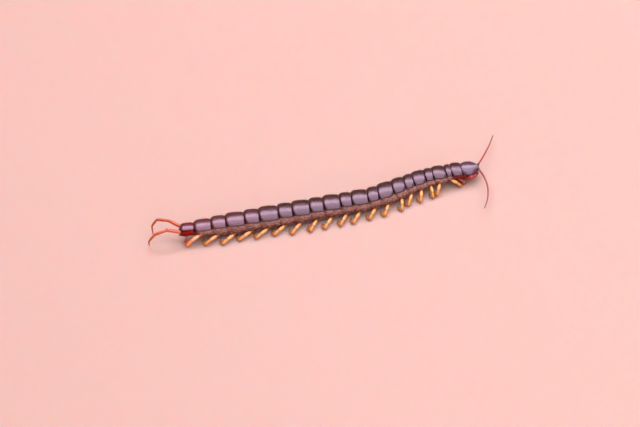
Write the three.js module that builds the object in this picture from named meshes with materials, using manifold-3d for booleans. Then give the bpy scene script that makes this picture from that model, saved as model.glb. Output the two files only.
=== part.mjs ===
// A giant centipede at life size, standing on its forty walking legs.
// Millimetres, +Z up, head towards +X, the animal's left side towards +Y.
import * as THREE from "three";
import Module from "manifold-3d";

const wasm = await Module();
wasm.setup();

const UP = new THREE.Vector3(0, 0, 1);
const radians = THREE.MathUtils.degToRad;
const lerp = THREE.MathUtils.lerp;

// Gap that two touching pieces keep.
const GAP = 0.3;

// Lengths and widths of the back plates, from the one behind the head to the last.
const PLATE_LENGTHS = [
  6.2, 3.2, 7.8, 4.7, 7.4, 5.4, 7.4, 9.0, 6.3, 9.5, 6.9,
  9.8, 8.1, 10.2, 8.4, 11.2, 8.7, 11.0, 8.7, 10.2, 8.2,
];
const PLATE_WIDTHS = [
  11.2, 9.9, 10.9, 10.5, 11.6, 11.3, 12.0, 12.5, 11.7, 12.3, 11.8,
  12.5, 12.0, 12.6, 12.0, 12.3, 11.6, 11.4, 10.4, 9.9, 7.8,
];
const SEGMENTS = PLATE_LENGTHS.length;
const SEGMENTS_PER_NODE = 3;
const LEG_PAIRS = SEGMENTS - 1;
const WIDEST_PLATE = 12.6;

// Where the joint of head and trunk lies, from the middle of the bounding box.
const HEAD_JOINT = { x: 82.0, y: 2.7 };

// The body's course over the floor: its heading at the tail, and its turns going forwards.
// A station is the distance back along the body from the joint of head and trunk.
const TAIL_HEADING = -2.9;
const TURNS = [
  { station: 56, over: 18, angle: 14.7 },
  { station: 24, over: 12, angle: -8.9 },
  { station: 6, over: 12, angle: -4.2 },
];
const HEAD_TURN = -8;
const SPINE_STEP = 0.5;

// Heights above the floor: at mid-body, and what they lose or gain over the thin ends.
const TOP_HEIGHT = 11.2;
const TOP_DROP_AT_HEAD = 1.0;
const TOP_DROP_AT_TAIL = 0.9;
const BELLY_HEIGHT = 1.1;
const BELLY_RISE_AT_HEAD = 2.5;
const BELLY_RISE_AT_TAIL = 4.6;
const HEAD_END_SPAN = 18;
const BELLY_RISE_SPAN = 62;
const TAIL_END_SPAN = 30;

// The section. Half of it is the arched plate, of this rise on the widest plate.
const PLATE_RISE = 2.6;
const ARCH_STEPS = 6;
// Below the plate's edge: across is a share of the half width, out swells with the flank,
// and down is a share of the height from the plate's edge to the belly.
const UNDER_EDGE = { across: 1.0, out: -0.2, down: 0.06 };
const EDGE_GROOVE = { across: 0.96, out: -0.3, down: 0.11 };
const FLANK = [
  { across: 1.0, out: 1.0, down: 0.36 },
  { across: 1.0, out: 0.9, down: 0.62 },
  { across: 0.92, out: 0.3, down: 0.88 },
];
const BELLY_EDGE = { across: 0.62, out: 0, down: 1.0 };
const TAIL_FLANK_SHARE = 0.3;

// One segment from its front edge to its hind edge: the plate's share of its width, its lift
// over the even back, the swell of the flank, and how far the belly plate stands proud. Each
// plate rises backwards and hides the sunken front of the next. A short plate rises less.
const SEGMENT_PROFILE = [
  { along: 0, width: 0.8, lift: -1.1, bulge: 0.45, belly: 0.35 },
  { along: 0.11, width: 0.94, lift: -0.72, bulge: 0.7, belly: 0.05 },
  { along: 0.52, width: 1.0, lift: 0.04, bulge: 1, belly: 0 },
  { along: 0.89, width: 0.975, lift: 0.3, bulge: 0.75, belly: 0.05 },
  { along: 1, width: 0.82, lift: -0.15, bulge: 0.45, belly: 0.35 },
];
const FULL_LIFT_LENGTH = 8;
const LEAST_LIFT_SHARE = 0.5;

// The pointed lobe behind each hip of the last segment, on either side of the hind legs.
const TAIL_LOBE = { across: 2.7, height: 6.25, sunk: 1.6, length: 1.5, radius: 0.75, tip: 0.25 };
const TAIL_LOBE_TOE_IN = 0.25;

// The walking legs. Sweep is the angle backwards from straight out, for legs 1 to 20.
const SWEEP_RIGHT = [-88, -63, 32, 4, 26, 40, 21, 38, 40, 35, 32, 35, 33, 43, 55, 57, 62, 55, 66, 77];
const SWEEP_LEFT = [-80, -62, 44, 42, 46, 40, 44, 50, 46, 50, 54, 50, 52, 56, 52, 58, 54, 58, 64, 66];
const LEG_ALONG_SEGMENT = 0.66;
const LEG_ROOT_HEIGHT = 1.9;
const LEG_ROOT_INSET = 0.5;
const LEG_SIDES = 6;
const LEG_SCALE_AT_HEAD = 0.81;
const LEG_SCALE_AT_TAIL = 1.13;
const FOREMOST_LEG_SHARE = 0.82;
const REARMOST_LEG_SHARE = 1.12;
// The hip is part of the trunk. Its rings run from inside the body out to the leg's first joint.
const HIP_SWEEP_SHARE = 0.45;
const HIP_PITCH = -10;
const HIP_LENGTH = 0.9;
const HIP_RINGS = [
  { at: -1.6, radius: 1.4 },
  { at: HIP_LENGTH, radius: 1.08 },
];
// The leg's lengths: trochanter, prefemur, femur, tibia, two tarsi and the claw. Fold is the share
// of the way from the sweep round to the foot's yaw. The lengths before the knee are pitched, and
// tilted further down by their share of the tilt that lowers the knee. Drop is the share of the
// bend that takes the foot down to the floor.
const LEG_LENGTHS = [
  { length: 1.0, fold: -0.06, pitch: -4, tilt: 0, start: 1.0, swell: [] },
  { length: 4.1, fold: 0, pitch: 2, tilt: 0.8, start: 0.86, swell: [0.97, 0.99] },
  { length: 3.4, fold: 0.03, pitch: -6, tilt: 1.2, start: 0.86, swell: [0.92] },
  { length: 2.7, fold: 0.73, drop: 1, start: 0.78, swell: [0.74] },
  { length: 2.2, fold: 0.98, drop: 1.2, start: 0.6, swell: [0.57] },
  { length: 1.1, fold: 1, drop: 1.5, start: 0.42, swell: [] },
  { length: 0.7, fold: 1, drop: 4, start: 0.28, swell: [] },
];
const KNEE_LENGTH = 3;
const KNEE_HEIGHT = 1.3;
const MOST_TILT = 58;
const MOST_BEND = 34;
const FOOT_RADIUS = 0.2;
// Each foot folds in under the body. Those of the foremost pairs turn the other way round.
const FOOT_YAW = 190;
const FORWARD_PAIRS = 2;
const FORWARD_FOOT_YAW = -190;

// The hind legs: each length's yaw, outwards from straight back, and pitch. The last lengths bend
// to the floor.
const HIND_SIDES = 8;
const HIND_ROOT = { across: 2.4, height: 8.1 };
const HIND_LENGTHS = [
  { length: 8.3, right: [-6, 19], left: [34, 16], start: 1.1, swell: [1.12, 1.05] },
  { length: 7.7, right: [3, -11], left: [23, -2], start: 0.88, swell: [0.94, 0.9] },
  { length: 5.9, right: [5, -43], left: [5, -49], start: 0.74, swell: [0.78, 0.74] },
  { length: 3.3, right: [-60, -66], left: [-60, -58], start: 0.56, swell: [0.56] },
  { length: 1.6, right: [-80, -66], left: [-70, -64], start: 0.4, swell: [] },
  { length: 0.9, right: [-80, -66], left: [-75, -66], start: 0.28, swell: [] },
];
const HIND_BENDING_FROM = 3;
const HIND_MOST_BEND = 22;
const HIND_FOOT_RADIUS = 0.24;
// The spines of the hind legs' first length: one on its upper hind end, the rest in rows along it.
const END_SPINE = { along: 0.94, length: 1.1, radius: 0.36, tip: 0.1, inward: 0.5 };
const ROW_SPINE = { length: 0.55, radius: 0.24, tip: 0.08 };
const ROW_SPINE_PLACES = [
  { along: 0.34, roll: -70 },
  { along: 0.62, roll: -70 },
  { along: 0.48, roll: -15 },
  { along: 0.76, roll: -15 },
];

// The head in its own frame, from its joint with the trunk forwards.
const HEAD_LENGTH = 10.2;
const HEAD_WIDTH = 10.7;
const HEAD_TOP = 10.5;
const HEAD_SLOPE = -0.1;
const HEAD_EDGE = 0.35;
const HEAD_UNDERSIDE = 6.3;
const HEAD_ARCH_STEPS = 10;
const HEAD_RISE = 2.7;
// Width and rise of the head's shield, as shares, from its hind edge to its front.
const HEAD_PROFILE = [
  { along: 0, width: 0.62, rise: 0.62 },
  { along: 0.05, width: 0.78, rise: 0.78 },
  { along: 0.15, width: 0.915, rise: 0.93 },
  { along: 0.3, width: 0.99, rise: 1.0 },
  { along: 0.43, width: 0.99, rise: 1.0 },
  { along: 0.55, width: 0.925, rise: 0.98 },
  { along: 0.67, width: 0.775, rise: 0.92 },
  { along: 0.79, width: 0.565, rise: 0.83 },
  { along: 0.89, width: 0.39, rise: 0.69 },
  { along: 0.985, width: 0.2, rise: 0.4 },
];

// Four simple eyes in a diamond on a low mound, near each front corner of the head.
const EYE_SITE = { along: 0.7, across: 0.685, drop: 1.72 };
const EYE_WAY = { forward: 0.35, out: 0.8, up: 0.5 };
const EYE_MOUND = { radius: 0.64, deep: 0.8, proud: 0.06 };
const EYE_LENS = { spread: 0.33, radius: 0.24, sides: 6 };
const EYE_LENS_RINGS = [
  { at: -0.15, share: 1 },
  { at: 0.14, share: 0.94 },
  { at: 0.27, share: 0.5 },
];

// The antennae. Heading is outwards from the head's own forward line and turns along the antenna.
const ANTENNA = { articles: 18, length: 31.2, taper: 0.35, baseRadius: 0.68, tipRadius: 0.27, sides: 6 };
// Along and across an article, as shares of its length and radius.
const ARTICLE_SHAPE = [
  [0.05, 0.84],
  [0.8, 1],
];
const ANTENNA_ROOT = { along: 0.945, across: 1.65, height: 7.7 };
const ANTENNA_SOCKET = { sunk: 1.6, proud: 0.45, radius: 0.85 };
const ANTENNA_COURSE = {
  left: { heading: 66, turn: 11, pitch: -7 },
  right: { heading: 59, turn: 56, pitch: -7 },
};

// The plate under the head that carries the venom claws, and its two tooth plates.
const CLAW_PLATE_RINGS = [
  { along: 0, half: 3.7, bottom: 3.1 },
  { along: 0.9, half: 4.0, bottom: 2.6 },
  { along: 3.4, half: 2.6, bottom: 2.6 },
  { along: 5.3, half: 1.5, bottom: 3.2 },
];
const CLAW_PLATE_TOP = 5.9;
const TOOTH_PLATE = { sunk: 0.7, length: 0.95, half: 0.62, across: 0.8, height: 4.6, thick: 0.8, teeth: 3 };

// The venom claw's centre line and thickness, from its root round to its tip at the middle.
const VENOM_CLAW_SIDES = 10;
const VENOM_CLAW = [
  { along: 3.3, across: 3.15, height: 4.3, radius: 1.2 },
  { along: 3.9, across: 3.75, height: 4.3, radius: 1.62 },
  { along: 5.3, across: 4.3, height: 4.35, radius: 1.66 },
  { along: 6.5, across: 4.35, height: 4.45, radius: 1.28 },
  { along: 6.9, across: 4.25, height: 4.5, radius: 1.34 },
  { along: 7.4, across: 4.0, height: 4.5, radius: 1.16 },
  { along: 8.0, across: 3.5, height: 4.5, radius: 1.08 },
  { along: 8.8, across: 2.6, height: 4.45, radius: 0.8 },
  { along: 9.3, across: 1.7, height: 4.4, radius: 0.52 },
  { along: 9.4, across: 0.8, height: 4.35, radius: 0.2 },
];

const SHELL = new THREE.MeshStandardMaterial({ color: 0x3a2226, roughness: 0.28, metalness: 0 });
const HEAD_SHELL = new THREE.MeshStandardMaterial({ color: 0x4a2b31, roughness: 0.28, metalness: 0 });
const LEG_AMBER = new THREE.MeshStandardMaterial({ color: 0xd9801c, roughness: 0.32, metalness: 0 });
const HIND_RED = new THREE.MeshStandardMaterial({ color: 0xc2491d, roughness: 0.32, metalness: 0 });
const VENOM_RED = new THREE.MeshStandardMaterial({ color: 0x7c1410, roughness: 0.25, metalness: 0 });
const ANTENNA_RED = new THREE.MeshStandardMaterial({ color: 0xb23a2c, roughness: 0.45, metalness: 0 });
const EYE_BLACK = new THREE.MeshStandardMaterial({ color: 0x120c0c, roughness: 0.1, metalness: 0 });

function smooth(value) {
  const t = THREE.MathUtils.clamp(value, 0, 1);
  return t * t * (3 - 2 * t);
}

// The middle one of two limits at which a falling function reaches zero.
function whereZero(heightAt, low, high) {
  let [above, below] = [low, high];
  for (let i = 0; i < 40; i += 1) {
    const middle = (above + below) / 2;
    if (heightAt(middle) > 0) above = middle;
    else below = middle;
  }
  return above;
}

// The body's heading in degrees at a station.
function headingAt(station) {
  return TURNS.reduce((heading, turn) => {
    return heading + turn.angle * smooth((turn.station + turn.over / 2 - station) / turn.over);
  }, TAIL_HEADING);
}

// A frame on the floor: a point, the way forwards and the way to the animal's left.
function floorFrame(point, heading) {
  const angle = radians(heading);
  const forward = new THREE.Vector3(Math.cos(angle), Math.sin(angle), 0);
  const left = new THREE.Vector3(-Math.sin(angle), Math.cos(angle), 0);
  return { point, forward, left };
}

// The frame of the body's course at a station, summed in small steps from the head's joint.
function spineAt(station) {
  const point = new THREE.Vector3(HEAD_JOINT.x, HEAD_JOINT.y, 0);
  const steps = Math.max(1, Math.round(station / SPINE_STEP));
  const step = station / steps;
  for (let i = 0; i < steps; i += 1) {
    point.addScaledVector(floorFrame(point, headingAt((i + 0.5) * step)).forward, -step);
  }
  return floorFrame(point, headingAt(station));
}

// A point in a floor frame: forwards, to the left, and up from the floor.
function place(frame, along, across, height) {
  return frame.point
    .clone()
    .addScaledVector(frame.forward, along)
    .addScaledVector(frame.left, across)
    .addScaledVector(UP, height);
}

// Outwards from a side of a frame, turned back by a yaw and up by a pitch, in degrees.
function outward(frame, side, yaw, pitch) {
  const level = frame.left
    .clone()
    .multiplyScalar(side * Math.cos(radians(yaw)))
    .addScaledVector(frame.forward, -Math.sin(radians(yaw)));
  return level.multiplyScalar(Math.cos(radians(pitch))).addScaledVector(UP, Math.sin(radians(pitch)));
}

// A manifold solid from points and triangles, turned so that its faces look out.
function toSolid(points, faces) {
  const volume = faces.reduce((sum, [a, b, c]) => {
    return sum + points[a].dot(new THREE.Vector3().crossVectors(points[b], points[c]));
  }, 0);
  const turned = volume < 0 ? faces.map(([a, b, c]) => [a, c, b]) : faces;
  return new wasm.Manifold(
    new wasm.Mesh({
      numProp: 3,
      vertProperties: new Float32Array(points.flatMap((p) => [p.x, p.y, p.z])),
      triVerts: new Uint32Array(turned.flat()),
    }),
  );
}

// A closed solid through rings of points, with a flat fan over each end.
function loft(rings) {
  const count = rings[0].length;
  const points = rings.flat();
  const faces = [];
  for (let r = 0; r + 1 < rings.length; r += 1) {
    for (let p = 0; p < count; p += 1) {
      const a = r * count + p;
      const b = r * count + ((p + 1) % count);
      faces.push([a, b, b + count], [a, b + count, a + count]);
    }
  }
  const lastRing = (rings.length - 1) * count;
  for (const first of [0, lastRing]) {
    const ring = points.slice(first, first + count);
    const centre = ring.reduce((sum, p) => sum.add(p), new THREE.Vector3()).divideScalar(count);
    points.push(centre);
    for (let p = 0; p < count; p += 1) {
      const [a, b] = [first + p, first + ((p + 1) % count)];
      faces.push(first === 0 ? [b, a, points.length - 1] : [a, b, points.length - 1]);
    }
  }
  return toSolid(points, faces);
}

// A ring of a tube round a centre, square to a direction. Its mitre stretches it across a bend.
function tubeRing(centre, direction, radius, sides, mitre = 1) {
  const across = new THREE.Vector3().crossVectors(direction, UP).normalize();
  const over = new THREE.Vector3().crossVectors(across, direction).normalize();
  return Array.from({ length: sides }, (_, i) => {
    const angle = (2 * Math.PI * (i + 0.5)) / sides;
    return centre
      .clone()
      .addScaledVector(across, Math.cos(angle) * radius * mitre)
      .addScaledVector(over, Math.sin(angle) * radius);
  });
}

// A straight round piece whose rings stand at distances from a centre along a direction.
function roundPiece(centre, direction, rings, sides, grown = 0) {
  return loft(
    rings.map(({ at, radius }) => {
      return tubeRing(centre.clone().addScaledVector(direction, at), direction, radius + grown, sides);
    }),
  );
}

// A thorn out of a limb at a point, its root sunk in the limb.
function thorn(point, direction, { length, radius, tip }, sunk) {
  const rings = [
    { at: 0, radius: radius },
    { at: sunk, radius: radius * 0.9 },
    { at: sunk + length, radius: tip },
  ];
  return roundPiece(point, direction, rings, 5);
}

// A jointed limb: one ring at each joint, set across the bend, and the swell of each length between.
function limb(start, parts, sides, footRadius) {
  const rings = [];
  const at = start.clone();
  parts.forEach((part, i) => {
    const before = i === 0 ? part.direction : parts[i - 1].direction;
    const bend = before.clone().add(part.direction).normalize();
    const mitre = 1 / Math.max(bend.dot(part.direction), 0.75);
    rings.push(tubeRing(at, bend, part.start, sides, mitre));
    part.swell.forEach((radius, j) => {
      const share = (j + 1) / (part.swell.length + 1) + 0.04 * j;
      const centre = at.clone().addScaledVector(part.direction, part.length * share);
      rings.push(tubeRing(centre, part.direction, radius, sides));
    });
    at.addScaledVector(part.direction, part.length);
  });
  const nearlyDown = parts[parts.length - 1].direction.clone().multiplyScalar(1e-6).sub(UP).normalize();
  rings.push(tubeRing(at, nearlyDown, footRadius, sides));
  return loft(rings);
}

// How far down a limb ends below its start.
function endHeight(start, parts) {
  return parts.reduce((height, part) => height + part.direction.z * part.length, start.z);
}

const model = new THREE.Group();

// A node keeps the largest closed surface of its solid.
function addNode(name, solid, material) {
  const pieces = solid.decompose().sort((a, b) => b.volume() - a.volume());
  const mesh = pieces[0].getMesh();
  const geometry = new THREE.BufferGeometry();
  geometry.setAttribute("position", new THREE.BufferAttribute(mesh.vertProperties, mesh.numProp));
  geometry.setIndex(new THREE.BufferAttribute(mesh.triVerts, 1));
  geometry.computeVertexNormals();
  const node = new THREE.Mesh(geometry, material);
  node.name = name;
  model.add(node);
}

// A ring whose points move away from its middle.
function growRing(ring, middle, grown) {
  return ring.map((point) => point.addScaledVector(point.clone().sub(middle).normalize(), grown));
}

// The stations of each segment's edges.
function layOutSegments() {
  let station = 0;
  return PLATE_LENGTHS.map((length, i) => {
    const front = station;
    station += length;
    return { front, back: station, half: PLATE_WIDTHS[i] / 2 };
  });
}
const segments = layOutSegments();
const TRUNK_LENGTH = segments[SEGMENTS - 1].back;

// How far a station is into the thin ends of the trunk, as a share.
function nearHead(station) {
  return 1 - smooth(station / HEAD_END_SPAN);
}

function nearTail(station) {
  return smooth(1 - (TRUNK_LENGTH - station) / TAIL_END_SPAN);
}

function topAt(station) {
  return TOP_HEIGHT - TOP_DROP_AT_HEAD * nearHead(station) - TOP_DROP_AT_TAIL * nearTail(station);
}

function bellyAt(station) {
  const rise = BELLY_RISE_AT_HEAD * (1 - smooth(station / BELLY_RISE_SPAN));
  return BELLY_HEIGHT + rise + BELLY_RISE_AT_TAIL * nearTail(station);
}

// One ring of the trunk: the arched plate, its edge, the flank and the flat belly, both sides.
function trunkRing(segment, step, grown) {
  const length = segment.back - segment.front - GAP;
  const station = segment.front + GAP / 2 + length * step.along;
  const frame = spineAt(station);
  const rise = (PLATE_RISE * segment.half * 2) / WIDEST_PLATE;
  const liftShare = THREE.MathUtils.clamp(length / FULL_LIFT_LENGTH, LEAST_LIFT_SHARE, 1);
  const edge = topAt(station) + step.lift * liftShare - rise;
  const belly = bellyAt(station) + step.belly;
  const plateHalf = segment.half * step.width;
  const swell = step.bulge * lerp(1, TAIL_FLANK_SHARE, nearTail(station));
  const ring = [];
  for (let i = 0; i <= ARCH_STEPS; i += 1) {
    const angle = Math.PI * (i / ARCH_STEPS - 0.5);
    ring.push(place(frame, 0, -plateHalf * Math.sin(angle), edge + rise * Math.cos(angle)));
  }
  const below = [
    ...[UNDER_EDGE, EDGE_GROOVE].map((p) => [plateHalf * p.across + p.out, p.down]),
    ...FLANK.map((p) => [segment.half * p.across + p.out * swell, p.down]),
    [segment.half * BELLY_EDGE.across, BELLY_EDGE.down],
  ].map(([across, down]) => [across, lerp(edge, belly, down)]);
  below.forEach(([across, height]) => ring.push(place(frame, 0, -across, height)));
  below.reverse().forEach(([across, height]) => ring.push(place(frame, 0, across, height)));
  return growRing(ring, place(frame, 0, 0, (edge + belly) / 2), grown);
}

// The trunk through some segments. Grown, it stands clear of them all round.
function trunkLength(some, grown = 0) {
  return loft(some.flatMap((segment) => SEGMENT_PROFILE.map((step) => trunkRing(segment, step, grown))));
}

// Where a walking leg leaves the trunk, and the way its hip points.
function legRoot(index, side) {
  const segment = segments[index];
  const station = lerp(segment.front, segment.back, LEG_ALONG_SEGMENT);
  const frame = spineAt(station);
  const sweep = (side > 0 ? SWEEP_LEFT : SWEEP_RIGHT)[index];
  const whole = lerp(LEG_SCALE_AT_HEAD, LEG_SCALE_AT_TAIL, index / (LEG_PAIRS - 1));
  const share = { 0: FOREMOST_LEG_SHARE, [LEG_PAIRS - 1]: REARMOST_LEG_SHARE }[index] ?? 1;
  const scale = whole * share;
  const across = side * (segment.half - LEG_ROOT_INSET);
  const point = place(frame, 0, across, bellyAt(station) + LEG_ROOT_HEIGHT);
  const direction = outward(frame, side, sweep * HIP_SWEEP_SHARE, HIP_PITCH);
  return { index, side, frame, sweep, scale, point, direction };
}

function hip(root, grown = 0) {
  const rings = HIP_RINGS.map(({ at, radius }) => ({
    at: at < HIP_LENGTH ? at : at + grown,
    radius: radius * root.scale,
  }));
  return roundPiece(root.point, root.direction, rings, LEG_SIDES, grown);
}

// The room that a leg or the head leaves free round the segment it meets and those beside it.
function clearRoom(index) {
  const near = segments.slice(Math.max(index - 1, 0), index + 3);
  const hips = index < LEG_PAIRS ? [1, -1].map((side) => hip(legRoot(index, side), GAP)) : [];
  return wasm.Manifold.union([trunkLength(near, GAP), ...hips]);
}

// The two pointed lobes at the hind end of the last segment.
function tailLobe(side, grown = 0) {
  const frame = spineAt(TRUNK_LENGTH);
  const root = place(frame, 0, side * TAIL_LOBE.across, TAIL_LOBE.height);
  const way = outward(frame, side, 90, 0).addScaledVector(frame.left, -side * TAIL_LOBE_TOE_IN).normalize();
  const rings = [
    { at: -TAIL_LOBE.sunk, radius: TAIL_LOBE.radius },
    { at: 0, radius: TAIL_LOBE.radius },
    { at: TAIL_LOBE.length, radius: TAIL_LOBE.tip },
  ];
  return roundPiece(root, way, rings, LEG_SIDES, grown);
}

function trunkNode(first) {
  const pieces = [trunkLength(segments.slice(first, first + SEGMENTS_PER_NODE))];
  for (let index = first; index < first + SEGMENTS_PER_NODE; index += 1) {
    if (index < LEG_PAIRS) pieces.push(hip(legRoot(index, 1)), hip(legRoot(index, -1)));
    else pieces.push(tailLobe(1), tailLobe(-1));
  }
  return wasm.Manifold.union(pieces);
}

// The directions of a leg's lengths, for a tilt down to the knee and a bend down to the floor.
function legParts(root, tilt, bend) {
  const footYaw = root.index < FORWARD_PAIRS ? FORWARD_FOOT_YAW : FOOT_YAW;
  return LEG_LENGTHS.map((part, i) => {
    const pitch = i < KNEE_LENGTH ? part.pitch - tilt * part.tilt : -bend * part.drop;
    return {
      length: part.length * root.scale,
      start: part.start,
      swell: part.swell,
      direction: outward(root.frame, root.side, lerp(root.sweep, footYaw, part.fold), pitch),
    };
  });
}

function walkingLeg(index, side) {
  const root = legRoot(index, side);
  const start = root.point.clone().addScaledVector(root.direction, HIP_LENGTH);
  const kneeHeight = (tilt) => endHeight(start, legParts(root, tilt, 0).slice(0, KNEE_LENGTH));
  const tilt = whereZero((angle) => kneeHeight(angle) - KNEE_HEIGHT, 0, MOST_TILT);
  const bend = whereZero((angle) => endHeight(start, legParts(root, tilt, angle)), 0, MOST_BEND);
  return limb(start, legParts(root, tilt, bend), LEG_SIDES, FOOT_RADIUS).subtract(clearRoom(index));
}

// The directions of a hind leg's lengths, for a bend of those after the second.
function hindParts(frame, side, bend) {
  return HIND_LENGTHS.map(({ length, right, left, start, swell }, i) => {
    const [yaw, pitch] = side > 0 ? left : right;
    const dropped = i < HIND_BENDING_FROM ? pitch : pitch - bend;
    return { length, start, swell, direction: outward(frame, side, 90 - yaw, dropped) };
  });
}

// The hind legs trail behind the last plate and arch down to the floor.
function hindLeg(side) {
  const frame = spineAt(TRUNK_LENGTH);
  const start = place(frame, 0, side * HIND_ROOT.across, HIND_ROOT.height);
  const heightAt = (angle) => endHeight(start, hindParts(frame, side, angle));
  const parts = hindParts(frame, side, whereZero(heightAt, -HIND_MOST_BEND, HIND_MOST_BEND));
  const { direction, length, swell } = parts[0];
  const inward = frame.left.clone().multiplyScalar(-side);
  const endWay = UP.clone().addScaledVector(inward, END_SPINE.inward).normalize();
  const endPoint = start.clone().addScaledVector(direction, length * END_SPINE.along);
  const spines = ROW_SPINE_PLACES.map(({ along, roll }) => {
    const point = start.clone().addScaledVector(direction, length * along);
    const way = inward
      .clone()
      .multiplyScalar(Math.cos(radians(roll)))
      .addScaledVector(UP, Math.sin(radians(roll)));
    return thorn(point, way, ROW_SPINE, swell[0] * 0.9);
  });
  const leg = limb(start, parts, HIND_SIDES, HIND_FOOT_RADIUS);
  const whole = wasm.Manifold.union([leg, thorn(endPoint, endWay, END_SPINE, swell[1] * 0.8), ...spines]);
  return whole.subtract(wasm.Manifold.union([clearRoom(SEGMENTS - 1), tailLobe(side, GAP)]));
}

// The head's own frame, which turns a little from the trunk.
const headFrame = floorFrame(spineAt(0).point, headingAt(0) + HEAD_TURN);

function headTopAt(along) {
  return HEAD_TOP + HEAD_SLOPE * along;
}

// One ring of the head: the arched shield, its edge, and the cheeks down to the underside.
function headRing(step, grown) {
  const along = lerp(GAP / 2, HEAD_LENGTH + grown, step.along);
  const half = (HEAD_WIDTH / 2) * step.width;
  const rise = HEAD_RISE * step.rise;
  const edge = headTopAt(along) - HEAD_RISE * (1 - (1 - step.rise) / 2);
  const ring = [];
  for (let i = 0; i <= HEAD_ARCH_STEPS; i += 1) {
    const angle = Math.PI * (i / HEAD_ARCH_STEPS - 0.5);
    ring.push(place(headFrame, along, -half * Math.sin(angle), edge + rise * Math.cos(angle)));
  }
  const below = [
    [half * 0.95, edge - HEAD_EDGE],
    [half * 0.84, edge - HEAD_EDGE * 1.6],
    [half * 0.66, HEAD_UNDERSIDE],
  ];
  below.forEach(([across, height]) => ring.push(place(headFrame, along, -across, height)));
  below.reverse().forEach(([across, height]) => ring.push(place(headFrame, along, across, height)));
  return growRing(ring, place(headFrame, along, 0, (edge + HEAD_UNDERSIDE) / 2), grown);
}

// The head's body. Grown, it stands clear of the head all round.
function headBody(grown = 0) {
  return loft(HEAD_PROFILE.map((step) => headRing(step, grown)));
}

// Where an eye mound sits, and the way it looks.
function eyeSite(side) {
  const along = HEAD_LENGTH * EYE_SITE.along;
  const height = headTopAt(along) - EYE_SITE.drop;
  const centre = place(headFrame, along, side * (HEAD_WIDTH / 2) * EYE_SITE.across, height);
  const way = UP.clone()
    .multiplyScalar(EYE_WAY.up)
    .addScaledVector(headFrame.left, side * EYE_WAY.out)
    .addScaledVector(headFrame.forward, EYE_WAY.forward)
    .normalize();
  return { centre, way };
}

function eyeMound(side, { from, to, radius }) {
  const { centre, way } = eyeSite(side);
  return roundPiece(centre, way, [{ at: from, radius }, { at: to, radius }], 10);
}

function eyes(side) {
  const { centre, way } = eyeSite(side);
  const across = new THREE.Vector3().crossVectors(way, UP).normalize();
  const over = new THREE.Vector3().crossVectors(across, way).normalize();
  const rings = EYE_LENS_RINGS.map(({ at, share }) => ({ at, radius: EYE_LENS.radius * share }));
  const lenses = [0, 1, 2, 3].map((quarter) => {
    const angle = (Math.PI / 2) * quarter;
    const middle = centre
      .clone()
      .addScaledVector(across, Math.cos(angle) * EYE_LENS.spread)
      .addScaledVector(over, Math.sin(angle) * EYE_LENS.spread);
    return roundPiece(middle, way, rings, EYE_LENS.sides);
  });
  const { deep, proud, radius } = EYE_MOUND;
  const mound = eyeMound(side, { from: GAP - deep, to: proud, radius });
  return wasm.Manifold.union([mound, ...lenses]);
}

// Where an antenna leaves the head, and its direction at a share of its length.
function antennaRoot(side) {
  return place(headFrame, HEAD_LENGTH * ANTENNA_ROOT.along, side * ANTENNA_ROOT.across, ANTENNA_ROOT.height);
}

function antennaWay(side, share) {
  const { heading, turn, pitch } = side > 0 ? ANTENNA_COURSE.left : ANTENNA_COURSE.right;
  return outward(headFrame, side, heading + turn * share - 90, pitch);
}

function antennaSocket(side) {
  const { sunk, proud, radius } = ANTENNA_SOCKET;
  const rings = [{ at: -sunk, radius }, { at: proud, radius }];
  return roundPiece(antennaRoot(side), antennaWay(side, 0), rings, ANTENNA.sides);
}

// Articles that shorten and thin towards the tip, each narrow at its joint and widest before its end.
function antenna(side) {
  const weights = Array.from({ length: ANTENNA.articles }, (_, i) => {
    return 1 - (ANTENNA.taper * i) / ANTENNA.articles;
  });
  const total = weights.reduce((a, b) => a + b, 0);
  const at = antennaRoot(side).addScaledVector(antennaWay(side, 0), ANTENNA_SOCKET.proud + GAP);
  const rings = [];
  let share = 0;
  weights.forEach((weight) => {
    const step = weight / total;
    const way = antennaWay(side, share + step / 2);
    const radius = lerp(ANTENNA.baseRadius, ANTENNA.tipRadius, share ** 0.8);
    const length = step * ANTENNA.length;
    for (const [along, width] of ARTICLE_SHAPE) {
      const centre = at.clone().addScaledVector(way, length * along);
      rings.push(tubeRing(centre, way, radius * width, ANTENNA.sides));
    }
    at.addScaledVector(way, length);
    share += step;
  });
  rings.push(tubeRing(at, antennaWay(side, 1), ANTENNA.tipRadius * 0.5, ANTENNA.sides));
  return loft(rings).subtract(headBody(GAP));
}

// The head with a pocket for each eye mound.
function headNode() {
  const whole = wasm.Manifold.union([headBody(), antennaSocket(1), antennaSocket(-1)]);
  const pockets = [1, -1].map((side) => {
    const radius = EYE_MOUND.radius + GAP;
    return eyeMound(side, { from: -EYE_MOUND.deep, to: 2 * radius, radius });
  });
  return whole.subtract(wasm.Manifold.union([clearRoom(0), ...pockets]));
}

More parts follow.
